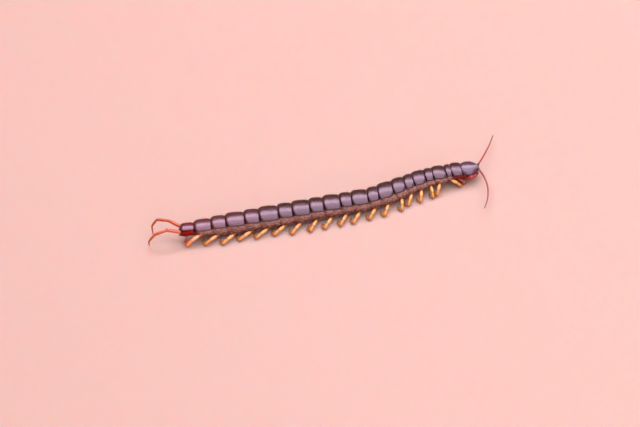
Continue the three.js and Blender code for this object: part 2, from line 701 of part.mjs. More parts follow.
// The plate that carries the venom claws, its toothed front edge, and the seats of the claws.
function clawPlate() {
  const plate = loft(
    CLAW_PLATE_RINGS.map(({ along, half, bottom }) => {
      const middle = (CLAW_PLATE_TOP + bottom) / 2;
      const right = [[half * 0.85, CLAW_PLATE_TOP], [half, middle], [half * 0.75, bottom]];
      const left = right.map(([across, height]) => [-across, height]).reverse();
      return [...right, ...left].map(([across, height]) => place(headFrame, along, across, height));
    }),
  );
  const end = CLAW_PLATE_RINGS[CLAW_PLATE_RINGS.length - 1].along;
  const { sunk, length, half, across, height, thick, teeth } = TOOTH_PLATE;
  const pieces = [plate];
  for (const side of [1, -1]) {
    const base = place(headFrame, end - sunk, side * across, height);
    const ring = (along, halfWidth, halfThick) =>
      [[1, 1], [-1, 1], [-1, -1], [1, -1]].map(([u, v]) => {
        return base
          .clone()
          .addScaledVector(headFrame.forward, along)
          .addScaledVector(headFrame.left, u * halfWidth)
          .addScaledVector(UP, v * halfThick);
      });
    pieces.push(loft([ring(0, half, thick / 2), ring(sunk + length * 0.6, half, thick * 0.35)]));
    for (let tooth = 0; tooth < teeth; tooth += 1) {
      const shift = lerp(-half, half, (tooth + 0.5) / teeth);
      const point = place(headFrame, end + length * 0.3, side * across + shift, height);
      const rings = [{ at: 0, radius: half / teeth }, { at: length * 0.7, radius: 0.06 }];
      pieces.push(roundPiece(point, headFrame.forward, rings, 5));
    }
  }
  return wasm.Manifold.union(pieces);
}

// A venom claw curves round the side of the head, and its tip points inwards.
function venomClaw(side, grown = 0) {
  const centres = VENOM_CLAW.map(({ along, across, height }) => {
    return place(headFrame, along, side * across, height);
  });
  const rings = VENOM_CLAW.map(({ radius }, i) => {
    const before = centres[Math.max(i - 1, 0)];
    const after = centres[Math.min(i + 1, centres.length - 1)];
    return tubeRing(centres[i], after.clone().sub(before).normalize(), radius + grown, VENOM_CLAW_SIDES);
  });
  return loft(rings);
}

for (let first = 0; first < SEGMENTS; first += SEGMENTS_PER_NODE) {
  const label = [first + 1, first + SEGMENTS_PER_NODE].map((n) => String(n).padStart(2, "0")).join("_");
  addNode(`trunk_${label}`, trunkNode(first), SHELL);
}
for (let index = 0; index < LEG_PAIRS; index += 1) {
  const label = String(index + 1).padStart(2, "0");
  addNode(`leg_${label}_left`, walkingLeg(index, 1), LEG_AMBER);
  addNode(`leg_${label}_right`, walkingLeg(index, -1), LEG_AMBER);
}
addNode("hind_leg_left", hindLeg(1), HIND_RED);
addNode("hind_leg_right", hindLeg(-1), HIND_RED);
addNode("head", headNode(), HEAD_SHELL);
addNode("eyes_left", eyes(1), EYE_BLACK);
addNode("eyes_right", eyes(-1), EYE_BLACK);
addNode("antenna_left", antenna(1), ANTENNA_RED);
addNode("antenna_right", antenna(-1), ANTENNA_RED);
const clawRoom = wasm.Manifold.union([clearRoom(0), venomClaw(1, GAP), venomClaw(-1, GAP)]);
addNode("claw_plate", clawPlate().subtract(clawRoom), VENOM_RED);
addNode("venom_claw_left", venomClaw(1), VENOM_RED);
addNode("venom_claw_right", venomClaw(-1), VENOM_RED);

export default model;
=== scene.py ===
"""A giant centipede at life size: shell plates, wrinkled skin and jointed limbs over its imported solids."""

import math

import bpy
import numpy as np
from mathutils import Matrix, Vector


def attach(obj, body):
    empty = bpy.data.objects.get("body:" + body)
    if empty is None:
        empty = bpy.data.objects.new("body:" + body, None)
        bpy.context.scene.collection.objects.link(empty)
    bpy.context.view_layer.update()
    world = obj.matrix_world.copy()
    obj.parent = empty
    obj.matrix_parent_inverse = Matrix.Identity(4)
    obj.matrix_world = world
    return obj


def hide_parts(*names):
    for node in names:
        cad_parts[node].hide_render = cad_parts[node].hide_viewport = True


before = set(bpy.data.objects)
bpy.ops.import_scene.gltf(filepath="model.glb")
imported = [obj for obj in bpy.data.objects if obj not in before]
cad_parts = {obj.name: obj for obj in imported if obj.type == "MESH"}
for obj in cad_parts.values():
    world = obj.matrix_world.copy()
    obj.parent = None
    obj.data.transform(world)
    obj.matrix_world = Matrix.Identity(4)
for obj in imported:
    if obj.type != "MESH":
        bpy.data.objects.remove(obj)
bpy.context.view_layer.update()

# Sizes below are in millimetres and degrees, in the same frame as the solids. Meshes are made in metres.
MM = 0.001
UP = np.array([0.0, 0.0, 1.0])
SIDE_NAMES = {1: "left", -1: "right"}

# The solids' driving dimensions.
PLATE_LENGTHS = np.array([
    6.2, 3.2, 7.8, 4.7, 7.4, 5.4, 7.4, 9.0, 6.3, 9.5, 6.9,
    9.8, 8.1, 10.2, 8.4, 11.2, 8.7, 11.0, 8.7, 10.2, 8.2,
])
PLATE_WIDTHS = np.array([
    11.2, 9.9, 10.9, 10.5, 11.6, 11.3, 12.0, 12.5, 11.7, 12.3, 11.8,
    12.5, 12.0, 12.6, 12.0, 12.3, 11.6, 11.4, 10.4, 9.9, 7.8,
])
SEGMENTS = len(PLATE_LENGTHS)
LAST_SEGMENT = SEGMENTS - 1
LEG_PAIRS = SEGMENTS - 1
WIDEST_PLATE = 12.6
TRUNK_LENGTH = sum(PLATE_LENGTHS)
FRONTS = np.cumsum([0.0, *PLATE_LENGTHS[:-1]])
HALVES = PLATE_WIDTHS / 2

# The body's course. A turn has its middle's station, the length it takes and its angle.
HEAD_JOINT = (82.0, 2.7)
TAIL_HEADING = -2.9
TURNS = [(56, 18, 14.7), (24, 12, -8.9), (6, 12, -4.2)]
HEAD_TURN = -8
COURSE_STEP = 0.05
COURSE_STATIONS = np.arange(-20.0, TRUNK_LENGTH + 20.0, COURSE_STEP)

TOP_HEIGHT = 11.2
TOP_DROP_AT_HEAD = 1.0
TOP_DROP_AT_TAIL = 0.9
BELLY_HEIGHT = 1.1
BELLY_RISE_AT_HEAD = 2.5
BELLY_RISE_AT_TAIL = 4.6
HEAD_END_SPAN = 18
BELLY_RISE_SPAN = 62
TAIL_END_SPAN = 30
PLATE_RISE = 2.6
TAIL_FLANK_SHARE = 0.3

# One segment from its front edge to its hind edge: share of the width, lift, flank swell.
PLATE_WIDTH_COURSE = [
    (-0.1, 0.62), (0, 0.76), (0.05, 0.85), (0.11, 0.925), (0.28, 0.985), (0.52, 1.0), (0.85, 0.985),
    (1.1, 0.955),
]
PLATE_LIFT_COURSE = [
    (-0.1, -1.35), (0, -1.08), (0.11, -0.72), (0.3, -0.28), (0.55, 0.06), (0.86, 0.32), (1.1, 0.34),
]
FULL_LIFT_LENGTH = 8
LEAST_LIFT_SHARE = 0.5
FLANK_SWELL_COURSE = [(0, 0.45), (0.09, 0.66), (0.45, 1), (0.9, 0.75), (1, 0.45)]
BELLY_LIFT_COURSE = [(0, 0.35), (0.09, 0.06), (0.45, 0), (0.9, 0.05), (1, 0.35)]

# Walking legs, and how far each points back from straight out, on the left and on the right.
SWEEPS = {
    1: [-80, -62, 44, 42, 46, 40, 44, 50, 46, 50, 54, 50, 52, 56, 52, 58, 54, 58, 64, 66],
    -1: [-88, -63, 32, 4, 26, 40, 21, 38, 40, 35, 32, 35, 33, 43, 55, 57, 62, 55, 66, 77],
}
LEG_ALONG_SEGMENT = 0.66
LEG_ROOT_HEIGHT = 1.9
LEG_ROOT_INSET = 0.5
LEG_SCALE_AT_HEAD = 0.81
LEG_SCALE_AT_TAIL = 1.13
END_LEG_SHARES = {0: 0.82, LEG_PAIRS - 1: 1.12}
HIP_SWEEP_SHARE = 0.45
HIP_PITCH = -10
HIP_LENGTH = 0.9
# Length, fold, pitch and tilt or drop, radius at the joint before, and the thickest radius.
LEG_LENGTHS = [
    {"length": 1.0, "fold": -0.06, "pitch": -4, "tilt": 0, "start": 0.98, "thick": 1.0},
    {"length": 4.1, "fold": 0, "pitch": 2, "tilt": 0.8, "start": 0.87, "thick": 1.0},
    {"length": 3.4, "fold": 0.03, "pitch": -6, "tilt": 1.2, "start": 0.88, "thick": 0.95},
    {"length": 2.7, "fold": 0.73, "drop": 1, "start": 0.79, "thick": 0.76},
    {"length": 2.2, "fold": 0.98, "drop": 1.2, "start": 0.58, "thick": 0.57},
    {"length": 1.1, "fold": 1, "drop": 1.5, "start": 0.40, "thick": 0.40},
    {"length": 0.7, "fold": 1, "drop": 4, "start": 0.26, "thick": 0.26},
]
KNEE_LENGTH = 3
KNEE_HEIGHT = 1.3
MOST_TILT = 58
MOST_BEND = 34
FOOT_YAW = 190
FORWARD_PAIRS = 2

# Hind legs: each length's yaw and pitch, on the right and on the left.
HIND_ROOT_ACROSS = 2.4
HIND_ROOT_HEIGHT = 8.1
HIND_LENGTHS = [
    {"length": 8.3, "right": (-6, 19), "left": (34, 16), "start": 1.0, "thick": 1.1},
    {"length": 7.7, "right": (3, -11), "left": (23, -2), "start": 0.86, "thick": 0.92},
    {"length": 5.9, "right": (5, -43), "left": (5, -49), "start": 0.72, "thick": 0.76},
    {"length": 3.3, "right": (-60, -66), "left": (-60, -58), "start": 0.54, "thick": 0.55},
    {"length": 1.6, "right": (-80, -66), "left": (-70, -64), "start": 0.38, "thick": 0.38},
    {"length": 0.9, "right": (-80, -66), "left": (-75, -66), "start": 0.26, "thick": 0.26},
]
HIND_BENDING_FROM = 3
HIND_MOST_BEND = 22

# Head.
HEAD_LENGTH = 10.2
HEAD_WIDTH = 10.7
HEAD_TOP = 10.5
HEAD_SLOPE = -0.1
HEAD_UNDERSIDE = 6.3
HEAD_RISE = 2.7
HEAD_HIND_SHARE = -0.045
HEAD_WIDTH_COURSE = [
    (HEAD_HIND_SHARE, 0.36), (-0.02, 0.55), (0.02, 0.71), (0.07, 0.82), (0.16, 0.92), (0.30, 0.99),
    (0.42, 1.0), (0.55, 0.935), (0.67, 0.78), (0.79, 0.57), (0.89, 0.395), (0.955, 0.26), (0.985, 0.18),
    (1.0, 0.06),
]
HEAD_RISE_COURSE = [
    (HEAD_HIND_SHARE, 0.52), (0, 0.66), (0.05, 0.79), (0.15, 0.93), (0.3, 1.0), (0.5, 1.0), (0.62, 0.95),
    (0.76, 0.86), (0.87, 0.72), (0.945, 0.54), (0.985, 0.4), (1.0, 0.3),
]
ANTENNA_ARTICLES = 18
ANTENNA_LENGTH = 31.2
ANTENNA_TAPER = 0.35
ANTENNA_RADII = (0.66, 0.25)
ANTENNA_ROOT = (0.945, 1.65, 7.7)
ANTENNA_PROUD = 0.5
# Heading, turn from root to tip, and pitch.
ANTENNA_COURSE = {1: (66, 11, -7), -1: (59, 56, -7)}


def smooth(value):
    """0 to 1 with soft ends."""
    t = np.clip(value, 0.0, 1.0)
    return t * t * (3 - 2 * t)


def lerp(a, b, share):
    return a + (b - a) * share


def hump(distance, reach):
    """1 at no distance, falling softly to 0."""
    return np.exp(-((distance / reach) ** 2))


def ridge(distance, height, at, reach):
    """A rounded ridge, or a groove where the height is negative, at a distance from an edge."""
    return height * hump(distance - at, reach)


def course(knots, at):
    """A smooth curve through (position, value) knots that never overshoots them."""
    xs, ys = np.array(knots, float).T
    steps = np.diff(xs)
    slopes = np.diff(ys) / steps
    before, after = slopes[:-1], slopes[1:]
    same_way = before * after > 0
    total = np.where(same_way, before + after, 1.0)
    inner = np.where(same_way, 2 * before * after / total, 0.0)
    tangents = np.concatenate([slopes[:1], inner, slopes[-1:]])
    i = np.clip(np.searchsorted(xs, at, side="right") - 1, 0, len(steps) - 1)
    t = np.clip((at - xs[i]) / steps[i], 0, 1)
    rise = ys[i + 1] - ys[i]
    bend = t * (1 - t) * steps[i] * (tangents[i] * (1 - t) - tangents[i + 1] * t)
    return ys[i] + rise * smooth(t) + bend


def rounded(corners, counts):
    """A smooth open curve through corner points, with some points to each stretch."""
    first = 2 * corners[0] - corners[1]
    last = 2 * corners[-1] - corners[-2]
    padded = [first, *corners, last]
    out = []
    for k, count in enumerate(counts):
        a, b, c, d = padded[k : k + 4]
        square = 2 * a - 5 * b + 4 * c - d
        cube = 3 * b - a - 3 * c + d
        out += [0.5 * (2 * b + (c - a) * t + square * t**2 + cube * t**3) for t in np.arange(count) / count]
    out.append(corners[-1])
    return np.stack(out, 1)


def edge_round(distance, reach):
    """Share of a shell's thickness near its edge, so that the edge is round."""
    t = np.clip(distance / reach, 0, 1)
    return np.sqrt(np.maximum(1 - (1 - t) ** 2, 0))


def dense_ends(count, power=1.8):
    """Shares from 0 to 1 that lie closer together near both ends."""
    t = np.linspace(-1, 1, count)
    return 0.5 + 0.5 * np.sign(t) * (1 - (1 - np.abs(t)) ** power)


def heading_at(station):
    """The body's heading at a distance back along it from the joint of head and trunk."""
    heading = TAIL_HEADING + np.zeros_like(station)
    for at, over, angle in TURNS:
        heading = heading + angle * smooth((at + over / 2 - station) / over)
    return heading


def lay_course():
    """The course's points over the floor, summed in small steps."""
    angle = np.radians(heading_at(COURSE_STATIONS[:-1] + COURSE_STEP / 2))
    sums = []
    for step, start in zip((np.cos(angle), np.sin(angle)), HEAD_JOINT):
        points = np.concatenate([[0], np.cumsum(-COURSE_STEP * step)])
        sums.append(points + start - np.interp(0, COURSE_STATIONS, points))
    return sums


COURSE_X, COURSE_Y = lay_course()


def floor_frame(x, y, heading):
    """A point on the floor, the way forwards and the way to the animal's left."""
    angle = np.radians(heading)
    none = np.zeros_like(angle)
    point = np.stack([x, y, none], -1)
    forward = np.stack([np.cos(angle), np.sin(angle), none], -1)
    left = np.stack([-np.sin(angle), np.cos(angle), none], -1)
    return point, forward, left


def spine_at(station):
    station = np.asarray(station, float)
    x = np.interp(station, COURSE_STATIONS, COURSE_X)
    y = np.interp(station, COURSE_STATIONS, COURSE_Y)
    return floor_frame(x, y, heading_at(station))


HEAD_FRAME = floor_frame(*map(np.array, (*HEAD_JOINT, heading_at(0.0) + HEAD_TURN)))
TAIL_FRAME = spine_at(TRUNK_LENGTH)


def place(at, along, across, height):
    """Points in a floor frame: forwards, to the left, and up from the floor."""
    point, forward, left = at
    along, across, height = (np.asarray(v, float)[..., None] for v in (along, across, height))
    return point + forward * along + left * across + UP * height


def outward(at, side, yaw, pitch):
    """Outwards from a side of a frame, turned back by a yaw and up by a pitch, in degrees."""
    yaw, pitch = math.radians(yaw), math.radians(pitch)
    level = at[2] * (side * math.cos(yaw)) - at[1] * math.sin(yaw)
    return level * math.cos(pitch) + UP * math.sin(pitch)


def unit(vectors):
    return vectors / np.maximum(np.linalg.norm(vectors, axis=-1, keepdims=True), 1e-9)


LATTICE_SEED = 21
LATTICE_LAYERS = 12
LATTICE_SIZE = 64
LATTICE = np.random.default_rng(LATTICE_SEED).random((LATTICE_LAYERS, LATTICE_SIZE, LATTICE_SIZE))


def noise(x, y, layer=0):
    """Smooth random values from -1 to 1, about one bump to a unit."""
    x, y = np.broadcast_arrays(x, y)
    i, j = np.floor(x).astype(int), np.floor(y).astype(int)
    u, v = smooth(x - i), smooth(y - j)
    cell = LATTICE[layer]
    i0, i1, j0, j1 = (k % LATTICE_SIZE for k in (i, i + 1, j, j + 1))
    return 2 * lerp(lerp(cell[i0, j0], cell[i1, j0], u), lerp(cell[i0, j1], cell[i1, j1], u), v) - 1


def dents(along, across, layers, shift=0.0):
    """Random dents, in layers of depth, bumps to a millimetre along and across, and lattice layer."""
    rise = 0.0
    for depth, fine, wide, layer in layers:
        rise = rise + depth * noise(along * fine + shift, across * wide, layer)
    return rise


def square_to(way):
    """The level and the upright direction square to a way."""
    across = unit(np.cross(way, UP))
    return across, np.cross(across, way)


def grid_normals(grid):
    return unit(np.cross(np.gradient(grid, axis=0), np.gradient(grid, axis=1)))


def lay_over(along, across, layer):
    """Distances along and across a sheet, for the grain of its material. The layer shifts that grain."""
    return np.stack(np.broadcast_arrays(along, across, layer), -1)


def lay_round(path, radii, sides):
    """Distances along a tube and round it, for the grain of its material."""
    along = np.concatenate([[0], np.cumsum(np.linalg.norm(np.diff(path, axis=0), axis=1))])
    angle = 2 * np.pi * np.arange(sides) / sides
    reach = float(np.max(radii))
    return np.stack(np.broadcast_arrays(along[:, None], np.cos(angle) * reach, np.sin(angle) * reach), -1)


def sweep(path, radii, sides, way=None, tall=1.0):
    """Rings of a tube, square to its path or all to one way. Tall is height as a share of width."""
    way = unit(np.gradient(path, axis=0)) if way is None else np.broadcast_to(way, path.shape)
    across, upright = square_to(way)
    angle = 2 * np.pi * (np.arange(sides) + 0.5) / sides
    tall = np.broadcast_to(tall, len(path))[:, None, None]
    ring = across[:, None] * np.cos(angle)[:, None] + upright[:, None] * np.sin(angle)[:, None] * tall
    return path[:, None] + ring * radii[:, None, None]


def with_ends(value, rows, sides):
    """Values on a tube's rings, followed by the values at the middles of its two ends."""
    value = np.asarray(value, float)
    if value.shape == (rows,):
        value = np.repeat(value[:, None], sides, 1)
    if value.ndim == 0:
        value = np.full((rows, sides), float(value))
    flat = value.reshape(rows * sides, *value.shape[2:])
    return np.concatenate([flat, value[:1].mean(1), value[-1:].mean(1)])


def cells(grid):
    return np.stack([grid[:-1, :-1], grid[:-1, 1:], grid[1:, 1:], grid[1:, :-1]], -1).reshape(-1, 4)


class Piece:
    """Gathers closed surfaces with their shading values, then becomes one object."""

    def __init__(self):
        self.points, self.faces, self.materials = [], [], []
        self.values = {"along": [], "part": [], "tone": [], "lay": []}
        self.count = 0

    def add(self, points, quads, triangles, material=0, **values):
        """Adds one closed surface, turned so that its faces look out."""
        split = np.concatenate([quads[:, [0, 1, 2]], quads[:, [0, 2, 3]], triangles])
        a, b, c = (points[split[:, k]] for k in range(3))
        if np.einsum("ij,ij->", a - points[0], np.cross(b - points[0], c - points[0])) < 0:
            quads, triangles = quads[:, ::-1], triangles[:, ::-1]
        self.points.append(points)
        self.faces += (quads + self.count).tolist() + (triangles + self.count).tolist()
        self.materials += [material] * (len(quads) + len(triangles))
        for name, store in self.values.items():
            shape = (len(points), 3) if name == "lay" else (len(points),)
            store.append(np.broadcast_to(values.get(name, 0.0), shape))
        self.count += len(points)

    def add_tube(self, rings, material=0, **values):
        """Adds a tube through rings of points, with a fan over each end."""
        rows, sides = rings.shape[:2]
        grid = np.arange(rows * sides).reshape(rows, sides)
        near, far = grid[:-1], grid[1:]
        quads = np.stack([near, np.roll(near, -1, 1), np.roll(far, -1, 1), far], -1).reshape(-1, 4)
        fans = [
            np.stack([np.roll(grid[0], -1), grid[0], np.full(sides, rows * sides)], -1),
            np.stack([grid[-1], np.roll(grid[-1], -1), np.full(sides, rows * sides + 1)], -1),
        ]
        spread = {name: with_ends(value, rows, sides) for name, value in values.items()}
        self.add(with_ends(rings, rows, sides), quads, np.concatenate(fans), material, **spread)

    def add_round(self, path, radii, sides, way=None, tall=1.0, material=0, **values):
        """Adds a tube along a path, with the grain of its material laid round it."""
        rings = sweep(path, radii, sides, way, tall)
        self.add_tube(rings, material, lay=lay_round(path, radii, sides), **values)

    def add_shell(self, middle, half, relief, **values):
        """Adds a thin shell round a sheet of points. Its outer face carries a relief."""
        rows, columns = half.shape
        normals = grid_normals(middle)
        outer = middle + normals * (half + relief)[..., None]
        inner = middle - normals * half[..., None]
        face = np.arange(rows * columns).reshape(rows, columns)
        back = face.copy()
        back[1:-1, 1:-1] = rows * columns + np.arange((rows - 2) * (columns - 2)).reshape(rows - 2, -1)
        quads = np.concatenate([cells(face), cells(back)[:, ::-1]])
        within = (slice(1, -1), slice(1, -1))

        def both(front, hidden):
            tail = front.shape[2:]
            return np.concatenate([front.reshape(-1, *tail), hidden[within].reshape(-1, *tail)])

        full = {name: np.broadcast_to(v, half.shape + (3,) * (name == "lay")) for name, v in values.items()}
        spread = {name: both(value, value) for name, value in full.items()}
        self.add(both(outer, inner), quads, np.empty((0, 3), int), **spread)

    def build(self, name, materials, replaces=()):
        """Makes the object, which moves with the part's one body."""
        mesh = bpy.data.meshes.new(name)
        mesh.from_pydata((np.concatenate(self.points) * MM).tolist(), [], self.faces)
        for key, store in self.values.items():
            kind, field = ("FLOAT_VECTOR", "vector") if key == "lay" else ("FLOAT", "value")
            layer = mesh.attributes.new(key, kind, "POINT")
            layer.data.foreach_set(field, np.concatenate(store).astype(np.float32).ravel())
        for material in materials:
            mesh.materials.append(material)
        mesh.polygons.foreach_set("material_index", self.materials)
        mesh.shade_smooth()
        mesh.update()
        made = bpy.data.objects.new(name, mesh)
        bpy.context.scene.collection.objects.link(made)
        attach(made, "root")
        if replaces:
            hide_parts(*replaces)


# Trunk.


def near_tail(station):
    return smooth(1 - (TRUNK_LENGTH - station) / TAIL_END_SPAN)


def top_at(station):
    near_head = 1 - smooth(station / HEAD_END_SPAN)
    return TOP_HEIGHT - TOP_DROP_AT_HEAD * near_head - TOP_DROP_AT_TAIL * near_tail(station)


def belly_at(station):
    rise = BELLY_RISE_AT_HEAD * (1 - smooth(station / BELLY_RISE_SPAN))
    return BELLY_HEIGHT + rise + BELLY_RISE_AT_TAIL * near_tail(station)


def segment_share(station):
    """The segment at a station, and the station's share of that segment's length."""
    index = np.clip(np.searchsorted(FRONTS, station, side="right") - 1, 0, LAST_SEGMENT)
    return index, np.clip((station - FRONTS[index]) / PLATE_LENGTHS[index], 0, 1)


def lift_at(index, share):
    """How far a segment's plate stands over the even back. A short plate rises less."""
    fullness = np.clip(PLATE_LENGTHS[index] / FULL_LIFT_LENGTH, LEAST_LIFT_SHARE, 1)
    return course(PLATE_LIFT_COURSE, share) * fullness


def leg_station(index):
    return FRONTS[index] + PLATE_LENGTHS[index] * LEG_ALONG_SEGMENT


SKIN_START = -0.7
SKIN_END = TRUNK_LENGTH + 0.35
SKIN_STEP = 0.29
SKIN_STATIONS = np.arange(SKIN_START, SKIN_END, SKIN_STEP)
# How far the skin lies under the back plates, and how far the flank reaches round to the belly.
UNDER_PLATES = 1.0
FLANK_SPAN = 8.6
FOLD_SPACING = 1.45
FOLD_HEIGHT = 0.075
FLANK_DENTS = ((0.085, 1.25, 1.05, 3), (0.05, 2.6, 2.1, 4))
# The hardened patches of a segment's flank: along, down the flank, their half sizes, and rise.
PLEURITES = [
    (0.30, 0.17, 1.35, 0.85, 0.13),
    (0.74, 0.16, 1.30, 0.75, 0.12),
    (0.22, 0.46, 1.00, 0.95, 0.17),
    (0.50, 0.40, 0.95, 0.80, 0.14),
    (0.90, 0.42, 0.75, 0.95, 0.14),
    (0.36, 0.74, 0.95, 0.80, 0.17),
    (0.96, 0.74, 0.60, 0.75, 0.12),
]
PLEURITE_SEGMENT_LENGTH = 9.0
SOCKET_DOWN = 0.80
SOCKET_REACH = 4
SPIRACLE_SEGMENTS = (3, 5, 8, 10, 12, 14, 16, 18, 20)
SPIRACLE_SITE = (0.80, 0.33)
SPIRACLE_HALVES = (0.52, 0.30)


def flank_relief(station, down, side):
    """Rise of the flank's folds, patches and leg sockets, and the painted shade of its creases and spiracle
    pits.
    """
    index, share = segment_share(station)
    length = PLATE_LENGTHS[index]
    width = down * FLANK_SPAN
    shift = 31.0 * side
    warp = 0.55 * noise(station * 0.30 + shift, width * 0.5, 1) + 0.25 * noise(station * 0.9, width, 2)
    rise = FOLD_HEIGHT * np.sin(2 * np.pi * (width / FOLD_SPACING + warp))
    rise = rise + dents(station, width, FLANK_DENTS, shift)
    patches = np.zeros_like(rise)
    wander = 0.16 * noise(station * 1.4 + shift, width * 1.3, 5)
    for along, low, reach, depth, lift in PLEURITES:
        x = (share - along) * length / (reach * np.sqrt(length / PLEURITE_SEGMENT_LENGTH))
        y = (down - low) * FLANK_SPAN / depth
        patch = smooth((1.12 + wander - np.hypot(x, y)) / 0.30)
        rise = lerp(rise, lift + 0.25 * rise, patch)
        patches = np.maximum(patches, patch)
    for leg in range(LEG_PAIRS):
        x = station - leg_station(leg)
        near = np.abs(x[:, 0]) < SOCKET_REACH
        away = np.hypot(x[near], (down - SOCKET_DOWN) * FLANK_SPAN)
        rise[near] += ridge(away, 0.30, 0, 1.9) + ridge(away, -0.16, 1.75, 0.22)
    fold = np.minimum(share, 1 - share) * length
    rise = rise - 0.06 * hump(fold + 0.105 * np.sin(3 * width), 0.34)
    pit = np.zeros_like(rise)
    for number in SPIRACLE_SEGMENTS:
        middle = FRONTS[number - 1] + PLATE_LENGTHS[number - 1] * SPIRACLE_SITE[0]
        x = (station - middle) / SPIRACLE_HALVES[0]
        y = (down - SPIRACLE_SITE[1]) * FLANK_SPAN / SPIRACLE_HALVES[1]
        away = np.hypot(x, y)
        rise = rise + ridge(away, 0.16, 1.25, 0.28) - 0.30 * smooth(1.15 - away)
        pit = np.maximum(pit, smooth((1.1 - away) * 3))
    fade = smooth(down / 0.07) * smooth((1.12 - down) / 0.10)
    return rise * fade, patches * fade, np.maximum(pit, smooth(-rise * 6.0) * 0.8) * fade


def skin_section(station):
    """Half of the skin's sections, from under the back plate round to the middle of the belly."""
    index, share = segment_share(station)
    half = np.interp(station, FRONTS + PLATE_LENGTHS / 2, HALVES)
    rise = PLATE_RISE * half * 2 / WIDEST_PLATE
    edge = top_at(station) + lift_at(index, share) * 0.7 - rise - 0.1
    belly = belly_at(station) + course(BELLY_LIFT_COURSE, share) * 0.5
    swell = course(FLANK_SWELL_COURSE, share) * lerp(1, TAIL_FLANK_SHARE, near_tail(station))
    plate = half * course(PLATE_WIDTH_COURSE, share)
    corners = [
        (0 * half, edge + rise - UNDER_PLATES),
        (half * 0.5, edge + rise * 0.86 - UNDER_PLATES),
        (half * 0.80, edge + rise * 0.55 - 0.8),
        (plate * 0.96 - 0.35, edge - 0.12),
        (half + 0.62 * swell, lerp(edge, belly, 0.20)),
        (half + 1.0 * swell, lerp(edge, belly, 0.38)),
        (half + 0.88 * swell, lerp(edge, belly, 0.62)),
        (half * 0.93 + 0.3 * swell, lerp(edge, belly, 0.87)),
        (half * 0.78, lerp(edge, belly, 0.98)),
        (half * 0.55, belly + 0.05),
        (0 * half, belly + 0.05),
    ]
    counts = [4, 4, 5, 9, 9, 11, 11, 7, 5, 6]
    flank_from, flank_stretches = 3, 5
    curve = rounded([np.stack(corner, 0) for corner in corners], counts)
    steps = np.concatenate([k + np.arange(n) / n for k, n in enumerate(counts)] + [[len(counts)]])
    return curve[0].T, curve[1].T, (steps - flank_from) / flank_stretches


def make_trunk_skin(material):
    """One skin for the whole trunk: flanks and belly, and what lies under the plates."""
    across, height, down = skin_section(SKIN_STATIONS)
    station = SKIN_STATIONS[:, None]
    halves = []
    for side in SIDE_NAMES:
        flank = place(spine_at(station), 0, side * across, height)
        rise, patches, dark = flank_relief(station, down[None], side)
        outer = flank - side * grid_normals(flank) * rise[..., None]
        halves.append((outer, patches, dark, lay_over(station, down * FLANK_SPAN, 10.0 * side)))
    rings, patches, dark, lay = (np.concatenate([left, right[:, -2:0:-1]], 1) for left, right in zip(*halves))
    along = np.broadcast_to(np.concatenate([down, down[-2:0:-1]]), dark.shape)
    piece = Piece()
    # The tone carries the painted shade of the flank's creases and pits.
    piece.add_tube(rings, along=along, part=patches, tone=dark, lay=lay)
    nodes = [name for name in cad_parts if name.startswith("trunk_")]
    piece.build("trunk_skin", [material], nodes)


EDGE_REACH = 0.22
PLATE_TUCK = 0.55
PLATE_OVERLAP = 0.42
LAST_PLATE_OVERLAP = 0.15
PLATE_THICKNESS = 0.36
PLATE_WRAP = 98
LAST_PLATE_WRAP = 60
# The plates lie a little across the body where it turns, by this share of the turn.
PLATE_SKEW_SHARE = 0.85
PLATE_ROWS = 44
PLATE_COLUMNS = 96
CORNER_SHARE = 0.20
CORNER_LENGTH = 2.6
HIND_FALL = 1.0
# The rolled rims and their grooves: height, distance from the edge, and reach.
SIDE_RIM = (0.085, 0.28, 0.17)
SIDE_GROOVE = (-0.045, 0.62, 0.16)
HIND_RIM = (0.05, 0.24, 0.16)
PLATE_DENTS = ((0.020, 0.55, 0.5, 6), (0.010, 1.6, 1.5, 7))
SUTURE_ACROSS = 0.31
SUTURE_DEPTH = 0.05
# The dark hind margin, partly the plate's own darker edge and partly painted shade where the hind end curves
# down, is narrow on the back and wider on the sides, but not past a share of the plate.
MARGIN_ON_BACK = 0.62
MARGIN_ON_SIDES = 1.5
MOST_MARGIN_SHARE = 0.26
LAST_PLATE_MARGIN = 0.45


